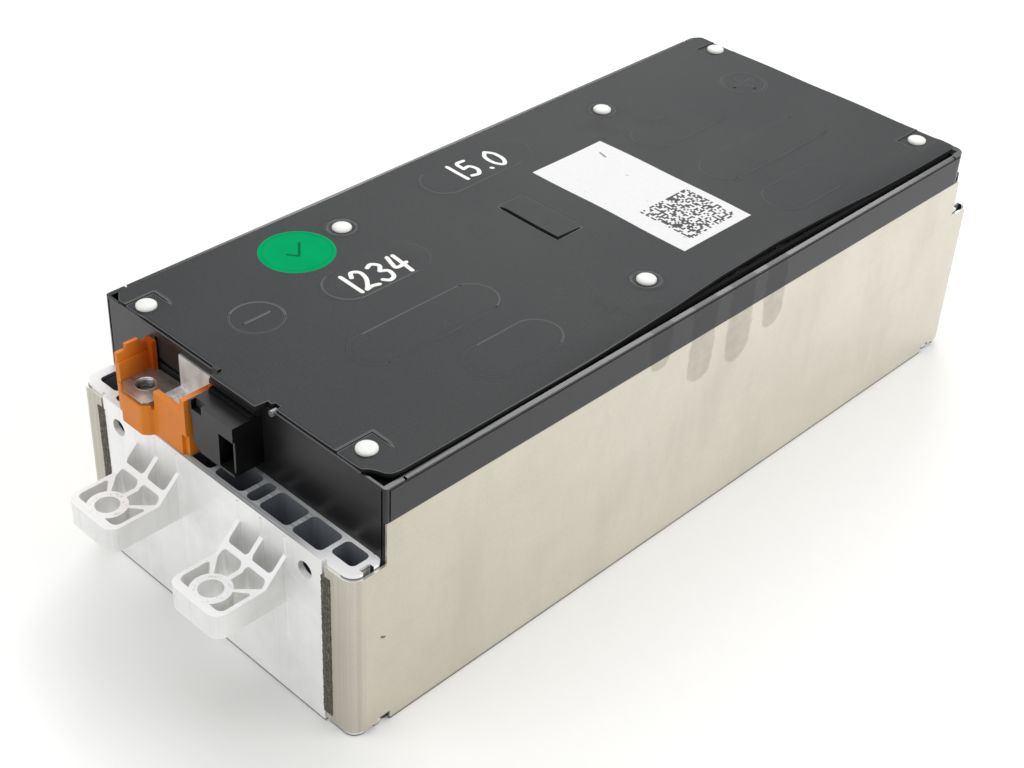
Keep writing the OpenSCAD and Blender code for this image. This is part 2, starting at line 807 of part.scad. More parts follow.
module terminal_shroud(guard) {
    t = shroud_t;
    nut_r = (nut_flats / 2 + fit) / cos(30);
    guard_top = contact_z + guard;
    front_top = contact_z + guard - 8;
    return_top = contact_z + guard - 2.5;
    foot_z = plate_h + fit;
    color("darkorange") difference() {
        union() {
            translate([0, 0, foot_z]) linear_extrude(deck_z - foot_z) shroud_base_plan();
            // Low rim round the front of the contact plate
            translate([0, 0, deck_z - eps]) linear_extrude(contact_t - contact_rim + eps)
                difference() {
                    shroud_base_plan();
                    polygon(concat(contact_edge(fit),
                        [[contact_right + fit, 20], [contact_left - fit, 20]]));
                    rect([contact_right - 1, contact_front_y + 3], [0, 20]);
                }
            // Guard beside the screw, with its stepped top
            translate([shroud_left, 0, deck_z - eps]) rotate([90, 0, 90]) linear_extrude(t)
                polygon([[0.1, 0], [shroud_back_y, 0], [shroud_back_y, return_top - deck_z + 0.8],
                    [10.8, return_top - deck_z + 0.8], [9.6, guard_top - deck_z + eps],
                    [4.1, guard_top - deck_z + eps], [4.1, guard_top - deck_z - 1.6],
                    [0.1, guard_top - deck_z - 1.6]]);
            block([shroud_left, shroud_back_y - 2, contact_z + fit],
                [shroud_left + 4.7, shroud_back_y, return_top + 1]);
            // Barrier in front of the strap, and the wall beside the connector
            block([contact_right + 1.6, shroud_front_y, deck_z - eps],
                [shroud_right, shroud_front_y + t, front_top]);
            block([shroud_right - t, shroud_front_y, deck_z - eps],
                [shroud_right, shroud_back_y, return_top]);
        }
        translate([-screw_x, screw_y, deck_z - nut_h - fit])
            cylinder(h = nut_h + 1, r = nut_r, $fn = 6);
        translate([-screw_x, screw_y, foot_z - eps]) cylinder(h = deck_z, r = screw_r + 1);
        // Thin upper part of the guard
        block([shroud_left + t - 0.9, -eps, contact_z + 7.5],
            [shroud_left + t + eps, shroud_back_y - 2, guard_top + eps]);
        // Lower end of the barrier
        block([shroud_right - 2.6, shroud_front_y - eps, foot_z - eps],
            [shroud_right + eps, shroud_front_y + 1.2, foot_z + 9]);
        // Hollow under the strap
        block([contact_right + 2, shroud_front_y + t, foot_z - eps],
            [shroud_right - t, shroud_back_y - t, deck_z - t]);
    }
}

module terminal_plate() {
    lap_y = shroud_front_y + shroud_t + 0.4;
    color("rosybrown") difference() {
        union() {
            translate([0, 0, deck_z]) linear_extrude(contact_t)
                polygon(concat(contact_edge(0), [[contact_right, wall_y + 0.4],
                    [contact_left, wall_y - 0.3]]));
            block([contact_right - eps, lap_y, deck_z],
                [shroud_right - shroud_t - 2, wall_y - 1.5, contact_z - strap_t]);
        }
        translate([-screw_x, screw_y, deck_z - eps]) cylinder(h = contact_t + 2 * eps, r = 4.1);
        block([strap_far_x - 0.1, lap_y - 1, contact_z - strap_t], [0, wall_y + 1, contact_z + eps]);
    }
}

module terminal_nut() {
    color("silver") translate([-screw_x, screw_y, deck_z - nut_h]) difference() {
        cylinder(h = nut_h, r = nut_flats / 2 / cos(30), $fn = 6);
        translate([0, 0, -eps]) cylinder(h = nut_h + 2 * eps, r = screw_r, $fn = 64);
    }
}

// Cover

cover_pin_x = 19.4;
tongue_left = socket_left + 1;
tongue_right = socket_right + 1.4;
tongue_y = hood_y - 0.2;
line_w = 1.1;
mark_r = 10.5;

module cover_plan() {
    x = cover_half_w;
    f = -half_l + cover_front;
    b = half_l - wall_y - 1.2;
    polygon(rounded([
        [-x, f + 3.6, 1.2], [-x + 5.5, f, 1], [tongue_left, f, 0.6],
        [tongue_left, -half_l + tongue_y, 0.8], [tongue_right, -half_l + tongue_y, 0.8],
        [tongue_right, f + 0.8, 0.5], [tongue_right + 2.4, f + 0.8, 0.5],
        [cover_pin_x - 1.5, f + 2.2, 0.4], [cover_pin_x + 1.5, f + 2.2, 0.4],
        [cover_pin_x + 1.9, f, 0.4],
        [x - 8.6, f, 0.4], [x - 8.2, f + 2.4, 1.4], [x - 4.4, f + 4.8, 1.4], [x - 2.2, f + 5.6, 1.2],
        [x, f + 9.5, 2],
        [x, b - 3.5, 1.2], [x - 3.6, b, 1.2], [-x + 3.6, b, 1.2], [-x, b - 3.6, 1.2]]));
}

// Raised outline of a capsule, with the lengths of its two ends
module raised_line(x, y0, y1, w) {
    translate([0, 0, cover_top - eps]) linear_extrude(emboss_h + eps) difference() {
        stadium(x, y0, y1, w);
        stadium(x, y0 + line_w, y1 - line_w, w - 2 * line_w);
    }
}

module raised_mark(x, y, plus) {
    bar = 5;
    translate([x, y, cover_top - eps]) linear_extrude(emboss_h + eps) {
        difference() {
            circle(mark_r);
            circle(mark_r - line_w);
        }
        rect([-bar, -line_w / 2], [bar, line_w / 2]);
        if (plus) rect([-line_w / 2, -bar], [line_w / 2, bar]);
    }
}

// Shallow tray pressed into the cover, between two opposite corners
module cover_tray(low, high, depth) {
    translate([0, 0, cover_top - depth]) linear_extrude(depth + 2) round_rect(low, high, 2);
}

module top_cover() {
    seat_left = 4.7;
    seat_right = 6.2;
    seat_back = 6;
    color([0.3, 0.31, 0.32]) difference() {
        union() {
            translate([0, 0, frame_top]) linear_extrude(cover_t) cover_plan();
            raised_mark(-25.7, -half_l + 44.8, false);
            raised_mark(-27.1, half_l - 40, true);
            raised_line(-20, -half_l + 73, -half_l + 121, 20);
            raised_line(17, -half_l + 53.5, -half_l + 121, 20);
            raised_line(49, -half_l + 79, -half_l + 121, 20);
            raised_line(-52, -31, 26, 20);
            raised_line(-21, half_l - 120, half_l - 67, 20);
            raised_line(16.4, half_l - 119, half_l - 43.5, 20);
            raised_line(48.5, half_l - 118, half_l - 72, 20);
        }
        for (p = corner_places()) scale([1, sign(p.y), 1])
            cover_tray([p.x - seat_left, abs(p.y) - seat_back], [p.x + seat_right, half_l], 0.4);
        for (p = inner_places())
            translate([p.x, p.y, cover_top - 0.4]) cylinder(h = 2, r = rivet_head_r + 2);
        for (p = concat(corner_places(), inner_places()))
            translate([p.x, p.y, frame_top - eps]) cylinder(h = cover_t + 1, r = rivet_shank_r + fit);
        cover_tray([-23.7, -18.1], [8.6, -4.1], 0.6);
    }
}

module cover_rivets() {
    shank = 7;
    seat = cover_top - 0.4;
    color("white") for (p = concat(corner_places(), inner_places())) translate([p.x, p.y, seat]) {
        cylinder(h = rivet_head_h, r = rivet_head_r);
        translate([0, 0, -shank]) cylinder(h = shank + eps, r = rivet_shank_r);
    }
}

module cover_pin() {
    color("silver") at_front() translate([cover_pin_x, wall_y - 0.8, frame_top - 0.7])
        rotate([-90, 0, 0]) cylinder(h = 2.6, r = 1.2);
}

module cover_label() {
    paper = 0.2;
    label_x = 7.3;
    label_y = 32.3;
    color("white") translate([label_x, label_y, cover_top])
        block([-label_w / 2, -label_l / 2, 0], [label_w / 2, label_l / 2, paper]);
}

module inspection_sticker() {
    paper = 0.2;
    color("mediumseagreen") translate([-half_w + 25.4, -half_l + 83.8, cover_top])
        cylinder(h = paper, r = sticker_r);
}

// Assembly

for (i = [1:CELLS])
    cell(i);
for (i = [1:CELLS - 1])
    foam_pad(i);
at_front() insulating_panel();  // front_insulating_panel
at_rear() insulating_panel();  // rear_insulating_panel
mirror([1, 0, 0]) side_film();  // left_film
side_film();  // right_film
bottom_film();
at_front() end_plate();  // front_end_plate
at_rear() end_plate();  // rear_end_plate
mirror([1, 0, 0]) side_plate();  // left_side_plate
side_plate();  // right_side_plate
weld_beads();
busbar_carrier();
at_front() lead_busbar();  // negative_busbar
terminal_bar(terminal_x, 1, 2 * GROUP);  // link_busbar_1_2
terminal_bar(-terminal_x, GROUP + 1, 3 * GROUP);  // link_busbar_2_3
terminal_bar(terminal_x, 2 * GROUP + 1, CELLS);  // link_busbar_3_4
at_rear() lead_busbar();  // positive_busbar
sensing_flex();
thermistor(2);  // front_thermistor
thermistor(CELLS - 2);  // rear_thermistor
connector_housing();
connector_pins();
top_frame();
at_front() terminal_shroud(guard_h);  // front_terminal_shroud
at_rear() terminal_shroud(rear_guard_h);  // rear_terminal_shroud
at_front() terminal_nut();  // negative_terminal_nut
at_rear() terminal_nut();  // positive_terminal_nut
at_front() terminal_plate();  // negative_terminal_plate
at_rear() terminal_plate();  // positive_terminal_plate
top_cover();
cover_rivets();
cover_pin();
cover_label();
inspection_sticker();
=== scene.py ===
import json
import math

import bpy
import numpy as np
from mathutils import Matrix, Vector


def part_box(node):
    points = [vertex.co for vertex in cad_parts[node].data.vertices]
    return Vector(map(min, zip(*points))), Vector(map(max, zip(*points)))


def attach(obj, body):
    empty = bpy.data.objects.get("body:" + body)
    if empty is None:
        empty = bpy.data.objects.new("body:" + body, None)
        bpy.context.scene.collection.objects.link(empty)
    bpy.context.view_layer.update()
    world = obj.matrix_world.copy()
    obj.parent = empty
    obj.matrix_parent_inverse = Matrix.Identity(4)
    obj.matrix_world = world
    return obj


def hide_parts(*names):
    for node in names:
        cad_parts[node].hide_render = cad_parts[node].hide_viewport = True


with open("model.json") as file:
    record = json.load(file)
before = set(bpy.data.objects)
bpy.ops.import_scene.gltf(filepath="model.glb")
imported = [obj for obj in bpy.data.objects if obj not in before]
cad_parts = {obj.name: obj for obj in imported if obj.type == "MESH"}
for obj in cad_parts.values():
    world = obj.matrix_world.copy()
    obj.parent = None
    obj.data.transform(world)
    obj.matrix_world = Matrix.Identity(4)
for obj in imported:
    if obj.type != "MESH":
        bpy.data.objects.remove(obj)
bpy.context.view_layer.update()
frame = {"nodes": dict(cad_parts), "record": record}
NODES = frame["nodes"]
scene = bpy.context.scene

# Places of the module in metres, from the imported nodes
TERMINALS = (("negative_terminal_nut", "negative_terminal_plate"),
             ("positive_terminal_nut", "positive_terminal_plate"))
WELD_RISE = 0.0006
WELD_WIDE = 0.0045
PLATE_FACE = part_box("weld_beads")[1].y - WELD_RISE
PLATE_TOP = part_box("front_end_plate")[1].z
EAR_HOLE = (0.0294, 0.2055, 0.055)
CHAMBER_WALL = 0.0022
CHAMBER_END = 0.0135
FRAME_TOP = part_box("top_frame")[1].z
RIM_INSIDE = 0.0728
COVER_TOP = FRAME_TOP + 0.0015
NUT_BORE = 0.00335

# Finger smears: place along y, height of the lower end, half of the width
SMEARS = [(-0.0330, 0.0862, 0.0062), (-0.0080, 0.0690, 0.0078), (0.0150, 0.0675, 0.0080),
          (0.0362, 0.0745, 0.0070)]
# Two dark specks on the steel, and dull clouds on the front plate: place and size
SPECKS = [((0.0755, -0.1703, 0.0424), (0.004, 0.0008, 0.0006)),
          ((0.0755, -0.1693, 0.0417), (0.004, 0.0009, 0.0005))]
CLOUDS = [((-0.004, -0.1835, 0.050), (0.013, 0.02, 0.010)), ((0.0465, -0.1835, 0.060), (0.012, 0.02, 0.009)),
          ((-0.045, -0.1835, 0.020), (0.016, 0.02, 0.010))]
# Dull smudges on the lid: x, y, and half sizes along them
SMUDGES = [(-0.045, 0.080, 0.010, 0.009), (-0.0135, -0.0085, 0.003, 0.003), (-0.002, -0.0125, 0.0025, 0.0025),
           (-0.040, 0.062, 0.02, 0.016), (-0.019, -0.072, 0.006, 0.004), (0.0655, -0.030, 0.0035, 0.007),
           (0.0645, 0.001, 0.003, 0.005), (-0.030, 0.085, 0.018, 0.012), (0.055, -0.04, 0.014, 0.01)]
# Square patch and dash of the label, tick of the sticker
CODE_LOW, CODE_HIGH, CODE_STEP = (0.0172, 0.0205), (0.0439, 0.0490), 0.00092
DASH = ((-0.0262, 0.0452), (-0.0222, 0.0440))
TICK = ((-0.0042, 0.0008), (-0.0014, -0.0030), (0.0046, 0.0042))


def middle(node):
    low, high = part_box(node)
    return (low + high) / 2


# Helpers for materials

def as_colour(value):
    return tuple(value) if isinstance(value, (tuple, list)) else (value,) * 3


class Nodes:
    """Short way to write a material's node tree."""

    def __init__(self, name):
        self.mat = bpy.data.materials.new(name)
        self.mat.use_nodes = True
        self.tree = self.mat.node_tree
        self.bsdf = self.tree.nodes["Principled BSDF"]
        self.coord = self.new("ShaderNodeTexCoord", {}).outputs["Object"]

    def new(self, kind, values, **props):
        """New node with its properties, and values or links for its inputs."""
        node = self.tree.nodes.new(kind)
        for key, value in props.items():
            setattr(node, key, value)
        for key, value in values.items():
            self.put(node.inputs[key], value)
        return node

    def put(self, socket, value):
        """Links a socket or sets its value; a plain number makes a grey."""
        if isinstance(value, bpy.types.NodeSocket):
            self.tree.links.new(value, socket)
        elif socket.type == "RGBA":
            socket.default_value = (*as_colour(value), 1)
        else:
            socket.default_value = value

    def scaled(self, scale, offset):
        values = {"Vector": self.coord, "Scale": scale, "Location": offset}
        return self.new("ShaderNodeMapping", values).outputs["Vector"]

    def noise(self, scale, detail=3, rough=0.5, offset=(0, 0, 0), out="Fac"):
        """Noise of one scale, or stretched where the scale has a number for each axis."""
        place = self.coord
        if isinstance(scale, tuple):
            place, scale = self.scaled(scale, offset), 1.0
        values = {"Vector": place, "Scale": scale, "Detail": detail, "Roughness": rough}
        return self.new("ShaderNodeTexNoise", values).outputs[out]

    def ramp(self, fac, *stops):
        node = self.new("ShaderNodeValToRGB", {"Fac": fac})
        ramp = node.color_ramp
        while len(ramp.elements) < len(stops):
            ramp.elements.new(0.5)
        for element, (place, value) in zip(ramp.elements, stops):
            element.position = place
            element.color = (*as_colour(value), 1)
        return node.outputs["Color"]

    def math(self, op, a, b=0.0, clamp=False):
        return self.new("ShaderNodeMath", {0: a, 1: b}, operation=op, use_clamp=clamp).outputs[0]

    def chain(self, op, values):
        total = values[0]
        for value in values[1:]:
            total = self.math(op, total, value)
        return total

    def mul(self, *values):
        return self.chain("MULTIPLY", values)

    def add(self, *values):
        return self.chain("ADD", values)

    def most(self, *values):
        return self.chain("MAXIMUM", values)

    def sub(self, a, b):
        return self.math("SUBTRACT", a, b)

    def over(self, a, b):
        return self.math("GREATER_THAN", a, b)

    def under(self, a, b):
        return self.math("LESS_THAN", a, b)

    def abs(self, a):
        return self.math("ABSOLUTE", a)

    def vector(self, op, a, b=None, out="Vector"):
        values = {0: a} if b is None else {0: a, 1: b}
        return self.new("ShaderNodeVectorMath", values, operation=op).outputs[out]

    def mix(self, fac, a, b, blend="MIX"):
        values = {0: fac, 6: a, 7: b}
        return self.new("ShaderNodeMix", values, data_type="RGBA", blend_type=blend).outputs[2]

    def axes(self, source=None):
        return self.new("ShaderNodeSeparateXYZ", {0: source or self.coord}).outputs

    def facing(self):
        """Parts of the surface's direction along x, y and z."""
        return self.axes(self.new("ShaderNodeNewGeometry", {}).outputs["Normal"])

    def spot(self, centre, size, soft):
        """1 inside a soft ellipsoid, 0 outside it."""
        shift = self.vector("SUBTRACT", self.coord, centre)
        away = self.vector("LENGTH", self.vector("DIVIDE", shift, size), out="Value")
        values = {"Value": away, "From Min": 1 - soft, "From Max": 1, "To Min": 1, "To Max": 0}
        return self.new("ShaderNodeMapRange", values).outputs["Result"]

    def smears(self):
        """1 inside the finger smears of the right side, with uneven outlines."""
        centred = self.vector("SUBTRACT", self.noise(170, out="Color"), (0.5, 0.5, 0.5))
        warp = self.vector("MULTIPLY", centred, (0, 0.0035, 0.004))
        _, warped_y, warped_z = self.axes(self.vector("ADD", self.coord, warp))
        fingers = []
        for y, low, half in SMEARS:
            across = self.sub(warped_y, y)
            below = self.most(self.sub(low + half, warped_z), 0.0)
            away = self.math("SQRT", self.add(self.mul(across, across), self.mul(below, below)))
            fingers.append(self.ramp(self.mul(away, 0.5 / half), (0.43, 1.0), (0.5, 0.0)))
        return self.mul(self.most(*fingers), self.over(self.axes()[0], 0.0))

    def segment(self, a, b, half, soft=0.0002):
        """1 near the line from a to b in the lid's plane, 0 away from it."""
        start, way = Vector((*a, 0)), Vector((b[0] - a[0], b[1] - a[1], 0))
        shift = self.vector("SUBTRACT", self.vector("MULTIPLY", self.coord, (1, 1, 0)), start)
        along = self.vector("DOT_PRODUCT", shift, way / way.length_squared, "Value")
        values = {0: way, "Scale": self.math("ADD", along, 0.0, True)}
        nearest = self.new("ShaderNodeVectorMath", values, operation="SCALE").outputs[0]
        gap = self.vector("DISTANCE", shift, nearest, "Value")
        return self.ramp(self.mul(gap, 100.0), ((half - soft) * 100, 1.0), ((half + soft) * 100, 0.0))

    def bump(self, height, strength, distance, normal=None):
        values = {"Strength": strength, "Distance": distance, "Height": height}
        if normal is not None:
            values["Normal"] = normal
        return self.new("ShaderNodeBump", values).outputs["Normal"]

    def finish(self, colour, rough, metal, normal=None, specular=0.5):
        values = {"Base Color": colour, "Roughness": rough, "Metallic": metal, "Specular IOR Level": specular}
        if normal is not None:
            values["Normal"] = normal
        for key, value in values.items():
            self.put(self.bsdf.inputs[key], value)
        return self.mat


def steel_material():
    """Thin rolled steel with a warm tint, fine grain, smears and small scratches."""
    n = Nodes("rolled_steel")
    _, y, z = n.axes()
    facing = n.facing()
    turn, up = n.abs(facing[1]), n.abs(facing[2])
    grain = n.noise((900, 60, 900), 4, 0.6)
    base = n.ramp(n.noise(26, 5, 0.62), (0.3, (0.665, 0.625, 0.54)), (0.7, (0.73, 0.69, 0.60)))
    base = n.mix(n.mul(grain, 0.14), base, (0.50, 0.47, 0.41))
    speckle = n.ramp(n.noise(1500, 3, 0.7), (0.38, 1.0), (0.52, 0.0))
    base = n.mix(n.mul(speckle, 0.16), base, (0.44, 0.41, 0.35))
    # Painted shade: the sheet is darker towards the front end
    near = n.ramp(n.mul(y, -5.0), (0.2, 0.0), (0.85, 1.0))
    base = n.mix(near, base, (0.90, 0.895, 0.87), "MULTIPLY")
    stain = n.ramp(n.noise((30, 42, 11), 4, 0.6), (0.52, 0.0), (0.68, 1.0))
    base = n.mix(n.mul(stain, 0.16), base, (0.42, 0.40, 0.34))
    # Painted shade on the bend, set by which way it faces, broken into upright lines
    bend = n.mul(n.ramp(turn, (0.08, 0.0), (0.3, 0.75), (0.6, 0.5), (0.82, 1.0), (0.95, 0.6)),
                 n.ramp(up, (0.3, 1.0), (0.6, 0.0)))
    wide = n.ramp(n.noise((640, 640, 2.2), 2), (0.42, 0.25), (0.62, 0.8))
    thin = n.ramp(n.noise((2300, 2300, 4), 3, 0.7, (3, 1, 2)), (0.56, 0.0), (0.7, 0.5))
    base = n.mix(n.mul(bend, n.most(wide, thin)), base, (0.36, 0.34, 0.305))
    # Painted highlight on the up-facing sheared edges of the sheet
    base = n.mix(n.mul(n.ramp(up, (0.8, 0.0), (0.95, 1.0)), 0.8), base, (0.95, 0.94, 0.90))
    smear = n.mul(n.smears(), n.ramp(n.noise(210, 3, 0.6), (0.3, 0.7), (0.6, 1.0)))
    base = n.mix(n.mul(smear, 0.5), base, (0.34, 0.315, 0.265))
    base = n.mix(n.most(*(n.spot(place, size, 0.4) for place, size in SPECKS)), base, (0.08, 0.07, 0.06))
    # Painted contact shadow along the foot of the sheet
    foot = n.ramp(n.mul(z, 100.0), (0.04, 1.0), (0.12, 0.0))
    base = n.mix(n.mul(foot, 0.75), base, (0.05, 0.045, 0.04))
    rough = n.add(n.mul(grain, 0.12), 0.3, n.mul(smear, 0.12))
    height = n.add(n.mul(grain, 0.6), n.mul(n.noise(900, 2), 0.4))
    normal = n.bump(height, 0.10, 0.0002, n.bump(n.noise(9, 2, 0.4), 0.12, 0.002))
    return n.finish(base, rough, 0.8, normal)


def extruded_material():
    """Extruded aluminium: streaks along the pull, milled ends, painted shade in the chambers."""
    n = Nodes("extruded_aluminium")
    x, y, z = n.axes()
    depth = n.sub(PLATE_FACE, n.abs(y))
    up = n.abs(n.facing()[2])
    end = n.ramp(up, (0.6, 0.0), (0.8, 1.0))
    streak = n.noise((420, 420, 5), 4, 0.6)
    saw = n.noise((30, 1400, 30), 3, 0.6)
    side = n.ramp(n.noise(24, 5, 0.62), (0.32, (0.85, 0.85, 0.84)), (0.5, (0.94, 0.94, 0.93)),
                  (0.64, (0.98, 0.98, 0.97)))
    bright = n.ramp(n.noise((260, 260, 2.5), 2, 0.5, (5, 2, 1)), (0.66, 0.0), (0.70, 1.0))
    side = n.mix(n.mul(bright, 0.5), side, 1.0)
    for place, size in CLOUDS:
        cloud = n.mul(n.spot(place, size, 0.95), n.ramp(n.noise(140, 4, 0.65), (0.35, 0.3), (0.6, 1.0)))
        side = n.mix(n.mul(cloud, 0.4), side, 0.5)
    side = n.mix(n.mul(n.ramp(streak, (0.55, 0.0), (0.75, 1.0)), 0.22), side, 0.62)
    top = n.ramp(saw, (0.3, 0.93), (0.7, 0.99))
    # The upper rim is duller in its middle; painted shade darkens the ears' sides and the rear plate's sides
    dull = n.mul(n.over(z, 0.07), n.ramp(n.mul(n.abs(n.sub(x, 0.016)), 10.0), (0.30, 1.0), (0.46, 0.0)))
    top = n.mix(n.mul(dull, n.ramp(saw, (0.35, 0.95), (0.65, 0.60))), top, (0.25, 0.262, 0.275))
    side = n.mix(n.under(depth, -0.001), side, (0.90, 0.90, 0.895), "MULTIPLY")
    side = n.mix(n.over(y, 0.0), side, (0.80, 0.80, 0.795), "MULTIPLY")
    base = n.mix(end, side, top)
    # Painted glint on the bevelled edges, picked out by their slant
    base = n.mix(n.ramp(up, (0.3, 0.0), (0.5, 1.0), (0.85, 1.0), (0.95, 0.0)), base, 1.0)
    # Scuffs round the bolt holes
    rings = []
    for hole in [(sx * EAR_HOLE[0], sy * EAR_HOLE[1], EAR_HOLE[2]) for sx in (-1, 1) for sy in (-1, 1)]:
        outer = n.spot(hole, (0.0074, 0.0074, 0.004), 0.12)
        rings.append(n.sub(outer, n.spot(hole, (0.0056, 0.0056, 0.02), 0.1)))
    wear_and_glint = n.ramp(n.noise(500, 4, 0.7), (0.54, 0.0), (0.64, 1.0))
    scuff = n.math("MULTIPLY", n.most(*rings), wear_and_glint, True)
    base = n.mix(n.mul(scuff, 0.5), base, (0.4, 0.4, 0.39))
    # Painted shade inside the chambers and in the notch at the side plate's foot, and a painted shadow line
    # where the rim is tucked in
    upright = n.under(up, 0.6)
    inside = n.mul(n.over(depth, CHAMBER_WALL), upright, n.under(depth, CHAMBER_END),
                   n.under(n.abs(x), 0.0722))
    base = n.mix(inside, base, (0.27, 0.295, 0.33))
    notch = n.mul(n.over(x, 0.0727), upright, n.mul(n.over(depth, 0.0059), n.under(depth, 0.0106)))
    base = n.mix(notch, base, 0.02)
    tuck = n.ramp(n.mul(n.abs(n.sub(z, PLATE_TOP - 0.0015)), 1000.0), (0.15, 1.0), (0.35, 0.0))
    base = n.mix(n.mul(tuck, n.over(n.abs(x), 0.0690), 0.85), base, 0.03)
    # Painted contact shadow along the plate's foot
    foot = n.ramp(n.mul(z, 100.0), (0.04, 1.0), (0.1, 0.0))
    base = n.mix(n.mul(foot, 0.8), base, 0.04)
    lines = n.mix(end, streak, saw)
    rough = n.add(n.mul(lines, 0.18), 0.27)
    metal = n.sub(0.38, n.mul(end, 0.32))
    return n.finish(base, rough, metal, n.bump(lines, 0.12, 0.0002), 0.4)


def gloss_black_material():
    """Smooth black moulding with a faint wipe pattern and dust."""
    n = Nodes("gloss_black")
    x, y, _ = n.axes()
    face = [n.abs(v) for v in n.facing()]
    wipe = n.noise((40, 14, 90), 4, 0.55)
    smear = n.smears()
    # Painted light on the right side's band, fading to painted shade towards the rear
    side = n.ramp(x, (0.0745, 0.0), (0.0751, 1.0))
    far = n.ramp(n.mul(y, 5.0), (0.05, 0.0), (0.75, 1.0))
    base = n.ramp(wipe, (0.3, (0.007, 0.007, 0.008)), (0.7, (0.012, 0.012, 0.013)))
    base = n.mix(side, base, n.mix(far, (0.080, 0.084, 0.090), (0.004, 0.005, 0.006)))
    base = n.mix(n.mul(side, smear, 0.95), base, 0.008)
    # Left part of the walls is paler; the moulding edges and the rim's top carry painted highlights
    crosswise = n.over(face[1], 0.7)
    wall = n.mul(crosswise, n.ramp(n.mul(x, -10.0), (0.3, 0.0), (0.5, 1.0)))
    base = n.mix(wall, base, (0.045, 0.045, 0.046))
    # Painted highlight on the bevelled moulding edges, picked out by their slant
    edge = n.mul(n.ramp(n.most(*face), (0.76, 1.0), (0.93, 0.0)), n.ramp(face[2], (0.2, 0.0), (0.4, 1.0)),
                 n.over(x, -0.0715))
    base = n.mix(n.mul(edge, 0.55), base, (0.16, 0.16, 0.165))
    # Painted highlight along the rim's top
    rim = n.mul(n.over(x, RIM_INSIDE), n.over(face[2], 0.9))
    base = n.mix(n.mul(rim, 0.8), base, (0.080, 0.082, 0.088))
    # Painted shade in the gap between the rim and the lid
    gap = n.mul(n.under(n.abs(x), RIM_INSIDE), n.under(n.abs(y), 0.1655))
    base = n.mix(gap, base, 0.001)
    dust = n.ramp(n.noise(1300, 2), (0.66, 0.0), (0.76, 1.0))
    base = n.mix(n.mul(dust, 0.03), base, 0.3)
    rough = n.add(n.mul(wipe, 0.14), 0.13, n.mul(side, n.sub(0.06, n.mul(far, 0.08))), n.mul(smear, 0.16),
                  n.mul(crosswise, 0.14))
    normal = n.bump(n.noise(420), 0.05, 0.0003)
    return n.finish(base, n.most(rough, gap), 0.0, normal, 0.34)


def plastic_material(name, low, high, rough, grain=1500, depth=0.12, spec=0.5):
    """Moulded plastic: slight mottle, fine grain, rubbed and dusty spots."""
    n = Nodes(name)
    mottle = n.noise(60, 4, 0.55)
    scuff = n.ramp(n.noise((160, 160, 60), 5, 0.7), (0.64, 0.0), (0.74, 1.0))
    base = n.ramp(mottle, (0.32, low), (0.68, high))
    pale = tuple(min(1, c * 1.25 + 0.02) for c in high)
    base = n.mix(n.mul(scuff, 0.3), base, pale)
    level = n.add(n.mul(mottle, 0.12), rough - 0.06, n.mul(scuff, 0.08))
    return n.finish(base, level, 0.0, n.bump(n.noise(grain, 2), depth, 0.0003), spec)


def connector_material():
    """Black plug housing: painted light on the front, painted shade on the right flanks, painted highlights
    on the edges, pale scuffs.
    """
    n = Nodes("connector_plastic")
    x, y, z = n.facing()
    scuff = n.ramp(n.noise((160, 160, 60), 5, 0.7), (0.6, 0.0), (0.72, 1.0))
    base = n.ramp(n.noise(60, 4, 0.55), (0.32, (0.006, 0.006, 0.007)), (0.68, (0.010, 0.010, 0.011)))
    # Painted light: faces turned to the front are lighter
    base = n.mix(n.ramp(n.mul(y, -1.0), (0.5, 0.0), (0.8, 1.0)), base, (0.036, 0.036, 0.038))
    # Painted shade: faces turned to the right are darker
    base = n.mix(n.ramp(x, (0.5, 0.0), (0.8, 1.0)), base, 0.001)
    base = n.mix(n.mul(scuff, 0.2), base, 0.06)
    # Painted highlight on the bevelled edges, picked out by their slant
    wear_and_glint = n.ramp(n.most(n.abs(x), n.abs(y), n.abs(z)), (0.76, 1.0), (0.93, 0.0))
    base = n.mix(n.mul(wear_and_glint, 0.8), base, (0.24, 0.24, 0.25))
    return n.finish(base, 0.42, 0.0, n.bump(n.noise(900, 2), 0.1, 0.0003), 0.3)


def shroud_material():
    """Orange moulding, with painted shade where its guard faces the frame."""
    n = Nodes("orange_plastic")
    _, y, z = n.axes()
    base = n.ramp(n.noise(60, 4, 0.55), (0.32, (0.69, 0.198, 0.015)), (0.68, (0.75, 0.236, 0.021)))
    # Painted shade on the guard's faces towards the frame
    depth_shade = n.mul(n.ramp(n.mul(n.abs(y), 5.0), (0.860, 1.0), (0.905, 0.0)),
                 n.ramp(n.mul(z, 10.0), (0.876, 0.0), (0.890, 1.0)))
    base = n.mix(n.mul(depth_shade, 0.85), base, (0.42, 0.062, 0.004))
    dust = n.ramp(n.noise(700, 2), (0.70, 0.0), (0.78, 1.0))
    base = n.mix(n.mul(dust, 0.3), base, (0.35, 0.10, 0.02))
    n.put(n.bsdf.inputs["Subsurface Weight"], 0.08)
    n.put(n.bsdf.inputs["Subsurface Scale"], 0.002)
    return n.finish(base, 0.4, 0.0, n.bump(n.noise(1200, 2), 0.08, 0.0003), 0.22)


